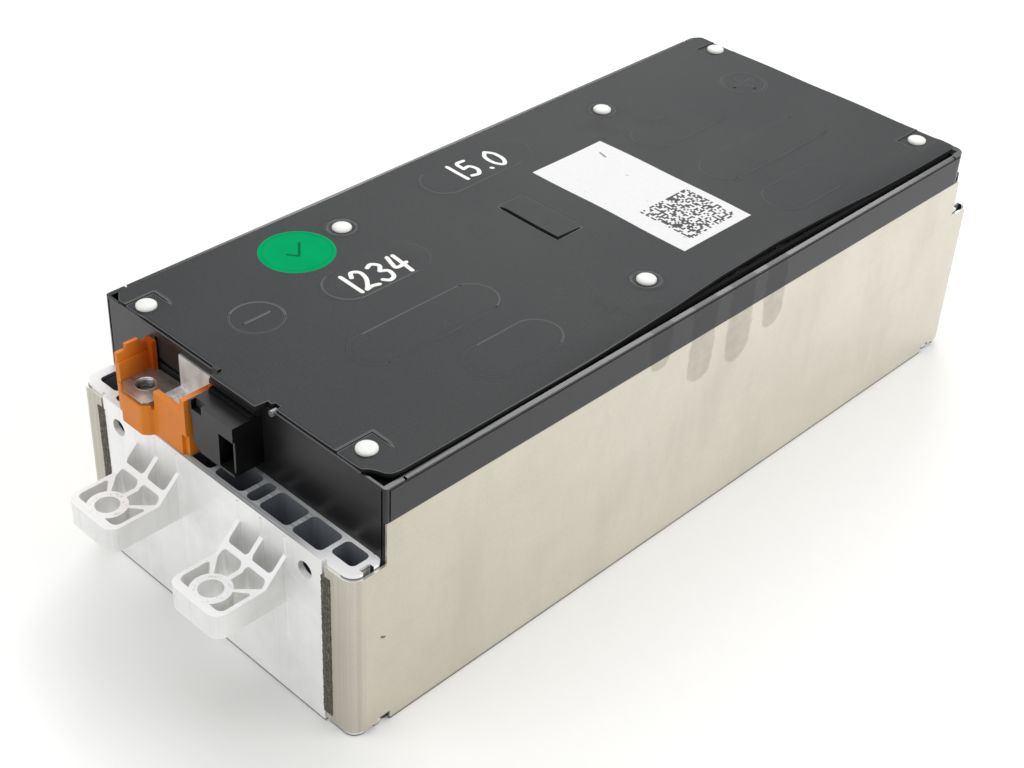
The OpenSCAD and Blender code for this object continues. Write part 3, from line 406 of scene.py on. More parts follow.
def busbar_material():
    """Bright strip; the flat by the terminal is roughly welded."""
    n = Nodes("busbar_strip")
    _, y, z = n.axes()
    marks = n.noise((60, 500, 60), 4, 0.6)
    base = n.ramp(marks, (0.36, (0.74, 0.735, 0.725)), (0.6, (0.93, 0.925, 0.915)))
    smudge = n.ramp(n.noise((150, 150, 90), 4, 0.6, (2, 0, 1)), (0.50, 0.0), (0.64, 1.0))
    base = n.mix(n.mul(smudge, 0.28), base, (0.42, 0.40, 0.38))
    near = n.mul(n.over(n.abs(y), 0.168), n.under(z, 0.0895))
    weld = n.noise((420, 700, 420), 5, 0.75)
    base = n.mix(n.mul(near, n.ramp(weld, (0.34, 0.75), (0.5, 0.0))), base, (0.30, 0.28, 0.26))
    height = n.add(n.mul(marks, 0.12), n.mul(near, weld))
    return n.finish(base, n.add(n.mul(marks, 0.2), 0.24), 0.6, n.bump(height, 0.6, 0.0012))


def metal_material(name, low, high, rough, scale=(300, 300, 300), depth=0.2, metal=0.9):
    """Bare metal with directional marks and blotches."""
    n = Nodes(name)
    marks = n.noise(scale, 4, 0.6)
    both = n.add(n.mul(marks, 0.5), n.mul(n.noise(140, 4, 0.6), 0.5))
    base = n.ramp(both, (0.36, low), (0.6, high))
    return n.finish(base, n.add(n.mul(marks, 0.2), rough - 0.1), metal, n.bump(marks, depth, 0.0003))


def nut_material():
    """Bright plated steel, with painted shade deepening down the threaded bore."""
    n = Nodes("nut_steel")
    marks = n.noise(300, 4, 0.6)
    base = n.ramp(marks, (0.36, (0.56, 0.55, 0.53)), (0.6, (0.80, 0.79, 0.76)))
    for node, plate in TERMINALS:
        centre, top = middle(node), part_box(plate)[1].z
        # Painted shade growing with depth below the plate's top
        inside = n.spot((centre.x, centre.y, 0), (0.0040, 0.0040, 50), 0.01)
        depth_shade = n.ramp(n.mul(n.sub(top, n.axes()[2]), 100.0), (0.01, 0.0), (0.05, 0.35), (0.35, 0.88))
        base = n.mix(n.mul(inside, depth_shade), base, (0.018, 0.017, 0.015))
    return n.finish(base, 0.28, 0.75, n.bump(marks, 0.1, 0.0003))


def cover_material():
    """Matt dark sheet of the lid: fine grain, dull smudges and small pale dust."""
    n = Nodes("cover_sheet")
    x, y, z = n.axes()
    tilt = n.facing()[2]
    cloud = n.noise(13, 5, 0.6)
    base = n.ramp(cloud, (0.3, (0.019, 0.0202, 0.0212)), (0.7, (0.026, 0.0276, 0.0290)))
    dark = n.most(*(n.spot((cx, cy, COVER_TOP), (rx, ry, 0.01), 0.9) for cx, cy, rx, ry in SMUDGES))
    broken = n.ramp(n.noise(120, 4, 0.65), (0.4, 0.0), (0.58, 1.0))
    base = n.mix(n.mul(dark, broken, 0.6), base, (0.008, 0.008, 0.009))
    dust = n.ramp(n.noise(900, 1), (0.72, 0.0), (0.8, 1.0))
    base = n.mix(n.mul(dust, 0.08), base, 0.35)
    grain = n.ramp(n.noise(1500, 2, 0.6), (0.35, 0.0), (0.65, 1.0))
    base = n.mix(n.mul(grain, 0.34), base, (0.042, 0.0450, 0.0470))
    # Slopes of the pressed forms carry painted highlights, most so at the front; the steep edges and the
    # skirt carry painted shade
    pale = n.mul(n.ramp(tilt, (0.72, 0.0), (0.80, 0.85), (0.955, 0.85), (0.988, 0.0)), n.over(x, -0.0714),
                 n.ramp(n.add(n.mul(y, 2.5), 0.5), (0.22, 1.0), (0.65, 0.45)))
    base = n.mix(pale, base, (0.165, 0.168, 0.172))
    # Painted shade on the steep edges and the skirt below the lid's top
    edge_shade = n.most(n.under(z, COVER_TOP - 0.0010), n.ramp(tilt, (0.55, 1.0), (0.70, 0.0)))
    base = n.mix(edge_shade, base, 0.003)
    level = n.add(n.mul(cloud, 0.14), 0.46)
    return n.finish(base, level, 0.0, n.bump(n.noise(2300, 2), 0.22, 0.0002), 0.22)


def label_material():
    """Coated paper with a dash and a patch of small dark squares, from seeded noise."""
    n = Nodes("label_paper")
    x, y, _ = n.axes()
    cell = n.vector("FLOOR", n.scaled((1 / CODE_STEP, 1 / CODE_STEP, 0), (3.3, 7.7, 0)))
    white = n.new("ShaderNodeTexWhiteNoise", {"Vector": cell})
    inside = n.mul(n.mul(n.over(x, CODE_LOW[0]), n.under(x, CODE_HIGH[0])),
                   n.mul(n.over(y, CODE_LOW[1]), n.under(y, CODE_HIGH[1])))
    ink = n.mul(n.over(white.outputs["Value"], 0.5), inside)
    fibre = n.noise(800, 3, 0.6)
    paper = n.ramp(fibre, (0.3, 0.755), (0.7, 0.795))
    speck = n.ramp(n.noise(210, 2, 0.4), (0.74, 0.0), (0.76, 1.0))
    paper = n.mix(n.mul(speck, 0.5), paper, 0.35)
    paper = n.mix(n.mul(n.segment(*DASH, 0.00042), 0.85), paper, 0.06)
    base = n.mix(ink, paper, 0.05)
    return n.finish(base, 0.5, 0.0, n.bump(fibre, 0.05, 0.0002), 0.2)


def sticker_material():
    """Round green film with a faint inner ring and light creases."""
    n = Nodes("sticker_film")
    centre = middle("inspection_sticker")
    base = n.ramp(n.noise(70), (0.3, (0.0004, 0.325, 0.112)), (0.7, (0.0005, 0.37, 0.130)))
    outer, inner = [n.spot(centre, (radius, radius, 0.02), 0.03) for radius in (0.0138, 0.0133)]
    base = n.mix(n.mul(n.sub(outer, inner), 0.35), base, (0.001, 0.16, 0.06))
    # Plain tick, read from the left like the marker figures
    low, bend, high = [(centre.x - v, centre.y + u) for u, v in TICK]
    tick = n.most(n.segment(low, bend, 0.0005), n.segment(bend, high, 0.0005))
    base = n.mix(n.mul(tick, 0.75), base, (0.004, 0.06, 0.03))
    normal = n.bump(n.noise((90, 260, 90), 3, 0.6), 0.18, 0.0004)
    return n.finish(base, 0.8, 0.0, normal, 0.02)


def weld_material():
    """Rough scaly weld, burnt dark with rusty and silvery grains."""
    n = Nodes("weld_bead")
    scale = n.noise((1300, 1300, 620), 5, 0.75)
    base = n.ramp(scale, (0.37, (0.030, 0.025, 0.018)), (0.54, (0.115, 0.102, 0.077)),
                  (0.70, (0.38, 0.35, 0.29)))
    base = n.mix(n.ramp(n.noise(240, 3, 0.6), (0.55, 0.0), (0.7, 0.5)), base, (0.2, 0.13, 0.08))
    return n.finish(base, 0.62, 0.3, n.bump(scale, 0.8, 0.0006))


MATERIALS = {
    "cell_can": metal_material("drawn_can", (0.6, 0.62, 0.64), (0.74, 0.76, 0.78), 0.36, (200, 200, 30), 0.1),
    "foam": plastic_material("cell_foam", (0.05, 0.05, 0.052), (0.075, 0.075, 0.078), 0.85, 900, 0.6, 0.2),
    "panel": plastic_material("panel_plastic", (0.028, 0.03, 0.032), (0.04, 0.042, 0.045), 0.5),
    "film": plastic_material("blue_film", (0.012, 0.065, 0.30), (0.02, 0.095, 0.38), 0.25, 500, 0.06),
    "end_plate": extruded_material(),
    "side_plate": steel_material(),
    "weld": weld_material(),
    "carrier": plastic_material("carrier_plastic", (0.70, 0.69, 0.64), (0.78, 0.77, 0.72), 0.45),
    "busbar": busbar_material(),
    "flex": plastic_material("amber_film", (0.42, 0.16, 0.01), (0.52, 0.22, 0.02), 0.25, 600, 0.05),
    "sensor": plastic_material("sensor_bead", (0.012, 0.012, 0.012), (0.02, 0.02, 0.02), 0.35),
    "connector": connector_material(),
    "pins": metal_material("pin_plating", (0.62, 0.44, 0.15), (0.80, 0.62, 0.28), 0.25),
    "frame": gloss_black_material(),
    "shroud": shroud_material(),
    "nut": nut_material(),
    "terminal_plate": metal_material("nickel_plate", (0.33, 0.295, 0.265), (0.52, 0.475, 0.43), 0.3,
                                     (80, 420, 80), 0.18, 0.8),
    "cover": cover_material(),
    "rivet": plastic_material("white_rivet", (0.76, 0.76, 0.73), (0.84, 0.84, 0.81), 0.4, 900, 0.05),
    "pin": metal_material("bright_pin", (0.26, 0.26, 0.26), (0.42, 0.42, 0.42), 0.4, metal=0.6),
    "label": label_material(),
    "sticker": sticker_material(),
}

for part in frame["record"]["subparts"]:
    for material_slot in NODES[part["node"]].material_slots:
        material_slot.material = MATERIALS[part["material_slot"]]


# Helpers for meshes

def add_mesh(name, vertices, faces, slot, node, smooth):
    """Visible piece, which stands for a CAD node where one is named."""
    mesh = bpy.data.meshes.new(name)
    mesh.from_pydata([tuple(v) for v in vertices], [], faces)
    mesh.validate()
    piece = bpy.data.objects.new(name, mesh)
    scene.collection.objects.link(piece)
    mesh.materials.append(MATERIALS[slot])
    mesh.polygons.foreach_set("use_smooth", [True] * len(mesh.polygons))
    mesh.set_sharp_from_angle(angle=math.radians(smooth))
    if node:
        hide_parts(node)
    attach(piece, "root")


def soften(name, width, clamp):
    """Small bevels on a CAD node's edges, as modifiers."""
    piece = NODES[name]
    clean = piece.modifiers.new("clean", "DECIMATE")
    clean.decimate_type = "DISSOLVE"
    clean.angle_limit = math.radians(1.0)
    bevel = piece.modifiers.new("edges", "BEVEL")
    bevel.width = width
    bevel.segments = 2
    bevel.limit_method = "ANGLE"
    bevel.angle_limit = math.radians(35)
    bevel.harden_normals = True
    bevel.use_clamp_overlap = clamp
    piece.data.polygons.foreach_set("use_smooth", [True] * len(piece.data.polygons))


def quads(rows, columns, around=False, order=(0, 1, 2, 3)):
    """Faces of a grid of vertices; around joins its last column to the first."""
    faces = []
    for r in range(rows - 1):
        for c in range(columns if around else columns - 1):
            a, b, d = r * columns, (r + 1) * columns, (c + 1) % columns
            quad = (a + c, a + d, b + d, b + c)
            faces.append(tuple(quad[i] for i in order))
    return faces


def border(rows, columns):
    """Vertex numbers round the edge of a grid."""
    last = (rows - 1) * columns
    loop = list(range(columns)) + [(r + 1) * columns - 1 for r in range(1, rows)]
    loop += [last + c for c in range(columns - 2, -1, -1)]
    return loop + [r * columns for r in range(rows - 2, 0, -1)]


def skirt(vertices, faces, loop, profile):
    """Hangs a rounded edge on a closed loop of vertex numbers, with out and down steps."""
    n = len(loop)
    points = [vertices[i] for i in loop]
    normals = []
    for k in range(n):
        a, b = points[k - 1], points[(k + 1) % n]
        way = Vector((b[0] - a[0], b[1] - a[1], 0)).normalized()
        normals.append(Vector((way.y, -way.x, 0)))
    previous = loop
    for out, down in profile:
        row = list(range(len(vertices), len(vertices) + n))
        vertices.extend((x + normal.x * out, y + normal.y * out, z - down)
                        for (x, y, z), normal in zip(points, normals))
        for k in range(n):
            j = (k + 1) % n
            faces.append((previous[k], row[k], row[j], previous[j]))
        previous = row
    return previous


def lathe(profile, centre, segments):
    """Vertices and faces of a turned form: profile is radius and height, from the axis out."""
    vertices = []
    for radius, z in profile:
        for k in range(segments):
            a = 2 * math.pi * k / segments
            vertices.append((centre[0] + radius * math.cos(a), centre[1] + radius * math.sin(a), z))
    return vertices, quads(len(profile), segments, True, (0, 3, 2, 1))


def join(parts):
    vertices, faces = [], []
    for v, f in parts:
        base = len(vertices)
        vertices.extend(v)
        faces.extend(tuple(i + base for i in face) for face in f)
    return vertices, faces


# Lid: its outline, then what is pressed into it

COVER_FRONT, COVER_REAR, COVER_LEFT = -0.1685, 0.1669, -0.0724
COVER_LIP = 0.0004
COVER_DEEP = 0.0020
# Cut corner at the front left, along y and x; radius of the rear corners
CORNER_CUT = (0.0040, 0.0055)
REAR_RADIUS = 0.0035
# Right edge: y and x. It stands off the frame's rim by a different amount along the module
EDGE_POINTS = [(-0.1685, 0.0636), (-0.1672, 0.0645), (-0.1662, 0.0655), (-0.1652, 0.0672), (-0.1645, 0.0694),
               (-0.1638, 0.0712), (-0.1625, 0.0722), (-0.1600, 0.0727), (-0.156, 0.0728), (-0.120, 0.0726),
               (-0.070, 0.0719), (-0.020, 0.0705), (0.010, 0.0686), (0.044, 0.0678), (0.075, 0.0688),
               (0.110, 0.0702), (0.140, 0.0708), (0.1675, 0.0710)]
# Steps of the front edge: the tongue over the connector, then the bay of the bright pin
FRONT_STEPS = [(-0.0088, 0.0), (-0.0085, -0.0044), (0.0149, -0.0044), (0.0153, 0.0008), (0.0175, 0.0008),
               (0.0179, 0.0022), (0.0209, 0.0022), (0.0213, 0.0)]
# The steps fade out over this length, away from the edge
FRONT_REACH = 0.006
# Even lines of the mesh, close lines at an edge in hundredths of a millimetre, and the strip that
# follows the wavy right edge
LINE_GAP = 0.0010
CLOSE_LINES = (-110, -80, -60, -40, -15, 0, 15, 40, 60, 80, 110)
STRIP_FROM, STRIP_COLUMNS = 0.0618, 12

# Pressed outlines: x of the middle, y of both ends
STADIUM_WIDE = 0.020
STADIUMS = [(-0.020, -0.1105, -0.0625), (0.017, -0.130, -0.0625), (0.049, -0.1045, -0.0625),
            (-0.052, -0.031, 0.026), (-0.021, 0.0635, 0.1165), (0.0164, 0.0645, 0.140),
            (0.0485, 0.0655, 0.1115)]
# Minus and plus mark: x, y and whether it is the plus
MARKS = [(-0.0257, -0.1387, False), (-0.0271, 0.1435, True)]
MARK_RING, MARK_BAR = 0.0101, 0.0056
# Lanced pad near the middle: left, front, right, rear
TRAY = (-0.0237, -0.0181, 0.0086, -0.0041)
TRAY_RISE = 0.0007
# Lanced seats of the corner rivets: reach to the left, to the right and towards the middle
SEAT = (0.0052, 0.0066, 0.0070)
SEAT_DEEP = 0.0005
CORNERS = [(-0.058, -0.1631), (0.0566, -0.1599), (-0.058, 0.1615), (0.0566, 0.1583)]
INNERS = [(-0.0522, -0.0754), (-0.0522, 0.0754), (0.051, -0.0145)]


def right_edge(y):
    ys, xs = zip(*EDGE_POINTS)
    return float(np.interp(y, ys, xs))


def ridge(distance, width):
    return np.exp(-(distance / width) ** 2)


def step(distance, soft):
    """1 where the distance is negative, 0 where it is positive, with a soft change."""
    return 0.5 - 0.5 * np.tanh(distance / soft)


def cover_heights(x, y):
    """Height of the pressed forms above the lid's plane, in metres, for arrays x and y."""
    h = np.zeros_like(x)
    half = STADIUM_WIDE / 2
    for cx, y0, y1 in STADIUMS:
        distance = np.hypot(x - cx, y - np.clip(y, y0 + half, y1 - half)) - half
        h += 0.0002 * step(distance, 0.0012)
    # The pad's front and right edges stand proud of a slot
    left, front, right, rear = TRAY
    d = np.maximum(np.maximum(left - x, x - right), np.maximum(front - y, y - rear))
    lift = np.clip((rear - y) / (rear - front), 0, 1) * np.clip((x - left) / 0.004, 0, 1)
    h += TRAY_RISE * lift * step(d, 0.00008)
    near = np.maximum(front - y, x - right)
    ends = np.clip((x - left) / 0.002, 0, 1) * np.clip((rear - y) / 0.002, 0, 1)
    h -= TRAY_RISE * ends * step(np.abs(near - 0.0005) - 0.0003, 0.00008) * (d < 0.003)
    h -= 0.00012 * ridge(d, 0.0003)
    # Seats of the rivets, the corner ones fading to the right
    for cx, cy in CORNERS:
        dx = np.maximum(cx - SEAT[0] - x, x - cx - SEAT[1])
        d = np.maximum(dx, cy - SEAT[2] - y if cy > 0 else y - cy - SEAT[2])
        fade = np.clip((cx + SEAT[1] - x) / 0.0045, 0, 1)
        h -= SEAT_DEEP * fade * step(d, 0.00012)
        h += fade * 0.00022 * ridge(d - 0.0006, 0.0003)
    for cx, cy in INNERS:
        r = np.hypot(x - cx, y - cy)
        h -= 0.0004 * step(r - 0.0058, 0.0003)
        h += 0.0003 * ridge(r - 0.0068, 0.0006)
    # Slow unevenness of a thin sheet
    h += 0.00018 * np.sin(x * 61 + 1.3) * np.sin(y * 37 + 0.4) + 0.00012 * np.sin(x * 130 + y * 71)
    return h


def lid_height(x, y):
    return COVER_TOP + float(cover_heights(np.array([x]), np.array([y]))[0])


def grid_lines(low, high, edges):
    """Even lines from low to high, with close lines at the given edges."""
    lines = list(np.linspace(low, high, int((high - low) / LINE_GAP) + 1))
    for edge in edges:
        if low + 0.001 < edge < high - 0.001:
            lines = [v for v in lines if abs(v - edge) > 0.0013]
            lines += [edge + k * 0.00001 for k in CLOSE_LINES]
    return sorted(set(round(v, 7) for v in lines))


def make_cover():
    """Thin loose sheet with pressed forms, a wavy right edge and a rounded edge all round."""
    seat_x = [v for cx, _ in CORNERS for v in (cx - SEAT[0], cx + SEAT[1])]
    seat_y = [cy - SEAT[2] if cy > 0 else cy + SEAT[2] for _, cy in CORNERS]
    xs = grid_lines(COVER_LEFT + COVER_LIP, STRIP_FROM, seat_x + [TRAY[0], TRAY[2]])
    xs = sorted(set(xs) | {x for x, _ in FRONT_STEPS})
    ys = grid_lines(COVER_FRONT + COVER_LIP, COVER_REAR - COVER_LIP, seat_y + [TRAY[1], TRAY[3]])
    step_x, step_y = zip(*FRONT_STEPS)
    grid = []
    for y in ys:
        left, right = COVER_LEFT + COVER_LIP, right_edge(y) - COVER_LIP
        # Cut corner at the front left, small radii at the rear
        gap = y - COVER_FRONT
        if gap < CORNER_CUT[0]:
            left += CORNER_CUT[1] * (1 - gap / CORNER_CUT[0]) ** 1.2
        gap = COVER_REAR - y
        if gap < REAR_RADIUS:
            bite = REAR_RADIUS - math.sqrt(max(REAR_RADIUS ** 2 - (REAR_RADIUS - gap) ** 2, 0))
            left += bite
            right -= bite
        row = [max(x, left + 1e-6 * k) for k, x in enumerate(xs)]
        row += [xs[-1] + (right - xs[-1]) * (k + 1) / STRIP_COLUMNS for k in range(STRIP_COLUMNS)]
        reach = max(0.0, 1 - (y - COVER_FRONT - COVER_LIP) / FRONT_REACH)
        grid.append([(x, y + reach * float(np.interp(x, step_x, step_y))) for x in row])
    x, y = np.moveaxis(np.array(grid), 2, 0)
    heights = cover_heights(x, y)
    # The loose right edge lifts and dips a little
    fall = np.clip((x - 0.060) / 0.012, 0, 1) ** 2
    heights += fall * (0.0006 * np.sin(y * 33 + 0.6) - 0.0002)
    vertices = list(zip(x.ravel(), y.ravel(), (COVER_TOP + heights).ravel()))
    faces = quads(*x.shape)
    profile = ((0.0002, 0.00008), (COVER_LIP, 0.00035), (COVER_LIP, COVER_DEEP), (0.0, COVER_DEEP))
    edge = skirt(vertices, faces, border(*x.shape), profile)
    # A fan closes the underside
    base = len(vertices)
    vertices.append((0, 0, COVER_TOP - COVER_DEEP))
    faces.extend((edge[k], base, edge[(k + 1) % len(edge)]) for k in range(len(edge)))
    add_mesh("cover_sheet", vertices, faces, "cover", "top_cover", 50)


make_cover()


# Rivets, label and marks on the lid

def make_rivets():
    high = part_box("cover_rivets")[1]
    top, size = high.z, high.x - CORNERS[1][0]
    seat = COVER_TOP - SEAT_DEEP
    profile = [(1e-6, top), (size - 0.0022, top - 0.00003), (size - 0.0011, top - 0.00014),
               (size - 0.0004, top - 0.00036), (size - 0.00005, top - 0.0007), (size, top - 0.0010),
               (size, seat), (0.002, seat), (0.002, seat - 0.0068), (1e-6, seat - 0.007)]
    parts = [lathe(profile, place, 40) for place in CORNERS + INNERS]
    add_mesh("lid_rivets", *join(parts), "rivet", "cover_rivets", 45)


make_rivets()


def smooth_line(points, steps):
    """Catmull-Rom curve through 2-D points."""
    p = [Vector(q) for q in points]
    if len(p) == 2:
        return [p[0].lerp(p[1], t / steps) for t in range(steps + 1)]
    p = [2 * p[0] - p[1]] + p + [2 * p[-1] - p[-2]]
    out = []
    for i in range(1, len(p) - 2):
        for k in range(steps):
            t = k / steps
            out.append(0.5 * ((2 * p[i]) + (p[i + 1] - p[i - 1]) * t
                              + (2 * p[i - 1] - 5 * p[i] + 4 * p[i + 1] - p[i + 2]) * t * t
                              + (3 * p[i] - p[i - 1] - 3 * p[i + 1] + p[i + 2]) * t ** 3))
    out.append(p[-2])
    return out


STROKE_SIDES = 7
STROKE_ENDS = (1.45, 1.0, 0.5)


def stroke(points, width, lift, steps=8):
    """Low ribbon with round ends along a line on the lid."""
    line = smooth_line(points, steps)
    last, half = len(line) - 1, width / 2
    ways = [(line[min(i + 1, last)] - line[max(i - 1, 0)]).normalized() for i in range(last + 1)]
    rows = [(line[0] - ways[0] * math.sin(a) * half, ways[0], math.cos(a) * half) for a in STROKE_ENDS]
    rows += [(q, way, half) for q, way in zip(line, ways)]
    rows += [(line[-1] + ways[-1] * math.sin(a) * half, ways[-1], math.cos(a) * half)
             for a in STROKE_ENDS[::-1]]
    vertices = []
    for q, way, reach in rows:
        for k in range(STROKE_SIDES):
            u = k / (STROKE_SIDES - 1) * 2 - 1
            p = q + Vector((-way.y, way.x)) * reach * u
            vertices.append((p.x, p.y, lid_height(p.x, p.y) + lift * (1 - u * u) - 0.00003 * u * u + 0.00002))
    return vertices, quads(len(rows), STROKE_SIDES, False, (1, 0, 3, 2))


# Plain hand-drawn figures, each a list of lines in a unit box
FIGURES = {
    "1": [[(0.45, 1.0), (0.50, 0.5), (0.55, 0.0)]],
    "2": [[(0.08, 0.78), (0.35, 1.0), (0.72, 0.86), (0.66, 0.52), (0.30, 0.18), (0.05, 0.02)],
          [(0.05, 0.02), (0.45, 0.07), (0.85, 0.02)]],
    "3": [[(0.08, 0.92), (0.45, 1.0), (0.72, 0.80), (0.42, 0.56)],
          [(0.42, 0.56), (0.80, 0.42), (0.70, 0.10), (0.32, 0.0), (0.04, 0.14)]],
    "4": [[(0.30, 1.0), (0.14, 0.66), (0.08, 0.42), (0.44, 0.40), (0.82, 0.46)],
          [(0.66, 0.98), (0.62, 0.5), (0.56, 0.0)]],
    "5": [[(0.74, 1.0), (0.26, 0.96), (0.20, 0.58)],
          [(0.20, 0.58), (0.62, 0.60), (0.76, 0.30), (0.50, 0.04), (0.10, 0.08)]],
    "0": [[(0.46, 1.0), (0.14, 0.72), (0.12, 0.28), (0.42, 0.0), (0.76, 0.26), (0.78, 0.72), (0.50, 1.0)]],
    ".": [[(0.46, 0.06), (0.52, 0.04)]],
}
NARROW = "1."
MARKER_WIDE = 0.0019
# The figures run along the module, with their tops to the left
ALONG, UP = Vector((0.05, 1)), Vector((-1, 0.05))


def write_figures(name, text, origin, size, gap):
    """Marker figures on the lid, from their left foot."""
    parts = []
    at = Vector(origin)
    for figure in text:
        wide, squeeze = (0.30, 0.4) if figure in NARROW else (1.0, 1.0)
        for line in FIGURES[figure]:
            points = [at + ALONG * (u * squeeze * size[0]) + UP * (v * size[1]) for u, v in line]
            parts.append(stroke(points, MARKER_WIDE, 0.00009))
        at += ALONG * (wide * size[0] + gap)
    add_mesh(name, *join(parts), "rivet", None, 60)


def arc(cx, cy, r, start, end, steps=14):
    angles = [math.radians(start + (end - start) * k / steps) for k in range(steps + 1)]
    return [(cx + r * math.cos(a), cy + r * math.sin(a)) for a in angles]


def make_pressed_lines():
    """Raised rims of the pressed forms, each a rounded ribbon on the lid."""
    parts = []
    half = STADIUM_WIDE / 2
    r = half - 0.0003
    for cx, y0, y1 in STADIUMS:
        line = arc(cx, y0 + half, r, 180, 360) + arc(cx, y1 - half, r, 0, 180)
        line.append(line[0])
        parts.append(stroke(line, 0.0012, 0.00003, 2))
        # One long side and one end stand out more
        if y1 < -0.06 and cx > 0:
            line = [(cx - r, y0 + 0.012)] + arc(cx, y1 - half, r, 180, 20)
            parts.append(stroke(line, 0.0008, 0.00016, 2))
        else:
            line = arc(cx, y0 + half, r, 200, 360) + [(cx + r, y1 - 0.012)]
            parts.append(stroke(line, 0.0008, 0.00010, 2))
    for cx, cy, plus in MARKS:
        width, lift = (0.0019, 0.00034) if plus else (0.0010, 0.00022)
        bars = [[(cx, cy - MARK_BAR), (cx, cy), (cx, cy + MARK_BAR)]]
        if plus:
            parts.append(stroke(arc(cx, cy, MARK_RING, 0, 360, 40), width, lift, 1))
            bars.append([(cx - MARK_BAR, cy), (cx, cy), (cx + MARK_BAR, cy)])
        else:
            # The far half of this ring stands out more
            parts.append(stroke(arc(cx, cy, MARK_RING, 0, 360, 40), width * 0.8, 0.00005, 1))
            parts.append(stroke(arc(cx, cy, MARK_RING, 55, 215, 24), width, lift, 1))
        parts += [stroke(bar, width * 1.3, lift * 1.2) for bar in bars]
    add_mesh("pressed_lines", *join(parts), "cover", None, 60)


make_pressed_lines()


def make_label():
    """Paper that follows the lid's unevenness."""
    low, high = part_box("cover_label")
    columns, rows = 111, 59
    x, y = np.meshgrid(np.linspace(low.x, high.x, columns), np.linspace(low.y, high.y, rows))
    z = COVER_TOP + cover_heights(x, y) + 0.00014
    vertices = list(zip(x.ravel(), y.ravel(), z.ravel()))
    faces = quads(rows, columns)
    skirt(vertices, faces, border(rows, columns), ((0.00002, 0.00004), (0.00002, 0.0003)))
    add_mesh("paper_label", vertices, faces, "label", "cover_label", 50)


make_label()


def make_sticker():
    """Round film that follows the lid, with its rim turned down."""
    low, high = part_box("inspection_sticker")
    centre, radius = middle("inspection_sticker"), (high.x - low.x) / 2
    rings, segments = 18, 72
    vertices = []
    for r in range(rings + 1):
        drop = 0.00025 if r == rings else 0.0
        for k in range(segments):
            a = 2 * math.pi * k / segments
            q = radius * r / rings
            x, y = centre.x + q * math.cos(a), centre.y + q * math.sin(a)
            vertices.append((x, y, lid_height(x, y) + 0.00016 - drop))
    faces = quads(rings + 1, segments, True, (0, 3, 2, 1))
    add_mesh("round_sticker", vertices, faces, "sticker", "inspection_sticker", 50)


make_sticker()


# Terminal nuts with a cut thread, and what shows of the thread in the terminal plates

THREAD_PITCH, THREAD_DEEP = 0.00125, 0.0006
NUT_BEVEL, THREAD_START = 0.0003, 0.0006


def make_nut(node):
    low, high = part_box(node)
    centre, flats = middle(node), (high.y - low.y) / 2
    sides, steps = 72, 44
    rows = [(low.z, "hex", 0.0), (high.z - NUT_BEVEL, "hex", 0.0), (high.z, "hex", -NUT_BEVEL),
            (high.z, "ring", 0.0007)]
    reach = high.z - low.z - THREAD_START
    rows += [(high.z - THREAD_START - reach * k / steps, "thread", 0.0) for k in range(steps + 1)]
    vertices = []
    for z, kind, shift in rows:
        for k in range(sides):
            a = 2 * math.pi * k / sides
            if kind == "hex":
                wrapped = (a + math.pi / 6) % (math.pi / 3) - math.pi / 6
                radius = flats / math.cos(math.pi / 6 - abs(wrapped)) + shift
            elif kind == "ring":
                radius = NUT_BORE + shift
            else:
                turn = (z / THREAD_PITCH - a / (2 * math.pi)) % 1
                radius = NUT_BORE + THREAD_DEEP * abs(2 * turn - 1)
            vertices.append((centre.x + radius * math.cos(a), centre.y + radius * math.sin(a), z))
    # The last row joins the first one
    faces = [tuple(i % len(vertices) for i in face) for face in quads(len(rows) + 1, sides, True)]
    add_mesh(node + "_thread", vertices, faces, "nut", node, 25)


def make_insert(node, plate):
    """Threaded collar inside a terminal plate and the bright rim round its hole."""
    start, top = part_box(node)[1].z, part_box(plate)[1].z
    centre = middle(node)
    turns = 4
    profile = [(NUT_BORE + 0.0002, start)]
    for k in range(turns):
        z = start + (top - 0.0003 - start) * (k + 0.5) / turns
        profile += [(NUT_BORE, z - 0.0001), (NUT_BORE + 0.0005, z + 0.0002)]
    profile += [(NUT_BORE + 0.0003, top - 0.0002), (0.00378, top + 0.00002), (0.00392, top + 0.00012),
                (0.00405, top + 0.0001), (0.00415, top - 0.0001)]
    add_mesh(plate + "_collar", *lathe(profile, (centre.x, centre.y), 64), "nut", None, 25)


for terminal_nut, terminal_plate in TERMINALS:
    make_nut(terminal_nut)
for terminal_nut, terminal_plate in TERMINALS:
    make_insert(terminal_nut, terminal_plate)


# Thin rim of the frame that shows under the lid's front edge, with a small hook at its end

RIM_SPANS = ((-0.0660, -0.0092), (0.0218, 0.0640))
RIM_Y, RIM_THICK = -0.1688, 0.00042
HOOK_LOW = (-0.0114, -0.1698, FRAME_TOP - 0.0002)
HOOK_HIGH = (-0.0084, -0.1681, COVER_TOP + 0.0008)


def make_front_rim():
    parts = []
    sides, steps = 10, 24
    for x0, x1 in RIM_SPANS:
        vertices = []
        for k in range(steps + 1):
            for i in range(sides):
                a = 2 * math.pi * i / sides
                vertices.append((x0 + (x1 - x0) * k / steps, RIM_Y + RIM_THICK * math.cos(a),
                                 FRAME_TOP + 0.00030 + RIM_THICK * math.sin(a)))
        faces = quads(steps + 1, sides, True)
        faces += [tuple(range(sides))[::-1], tuple(range(len(vertices) - sides, len(vertices)))]
        parts.append((vertices, faces))
    (x0, y0, z0), (x1, y1, z1) = HOOK_LOW, HOOK_HIGH
    hook = [(x, y, z) for z in (z0, z1) for x, y in ((x0, y0), (x1, y0), (x1, y1), (x0, y1))]
    parts.append((hook, [(3, 2, 1, 0), (4, 5, 6, 7), (0, 1, 5, 4), (1, 2, 6, 5), (2, 3, 7, 6), (3, 0, 4, 7)]))
    add_mesh("frame_front_rim", *join(parts), "connector", None, 40)


make_front_rim()


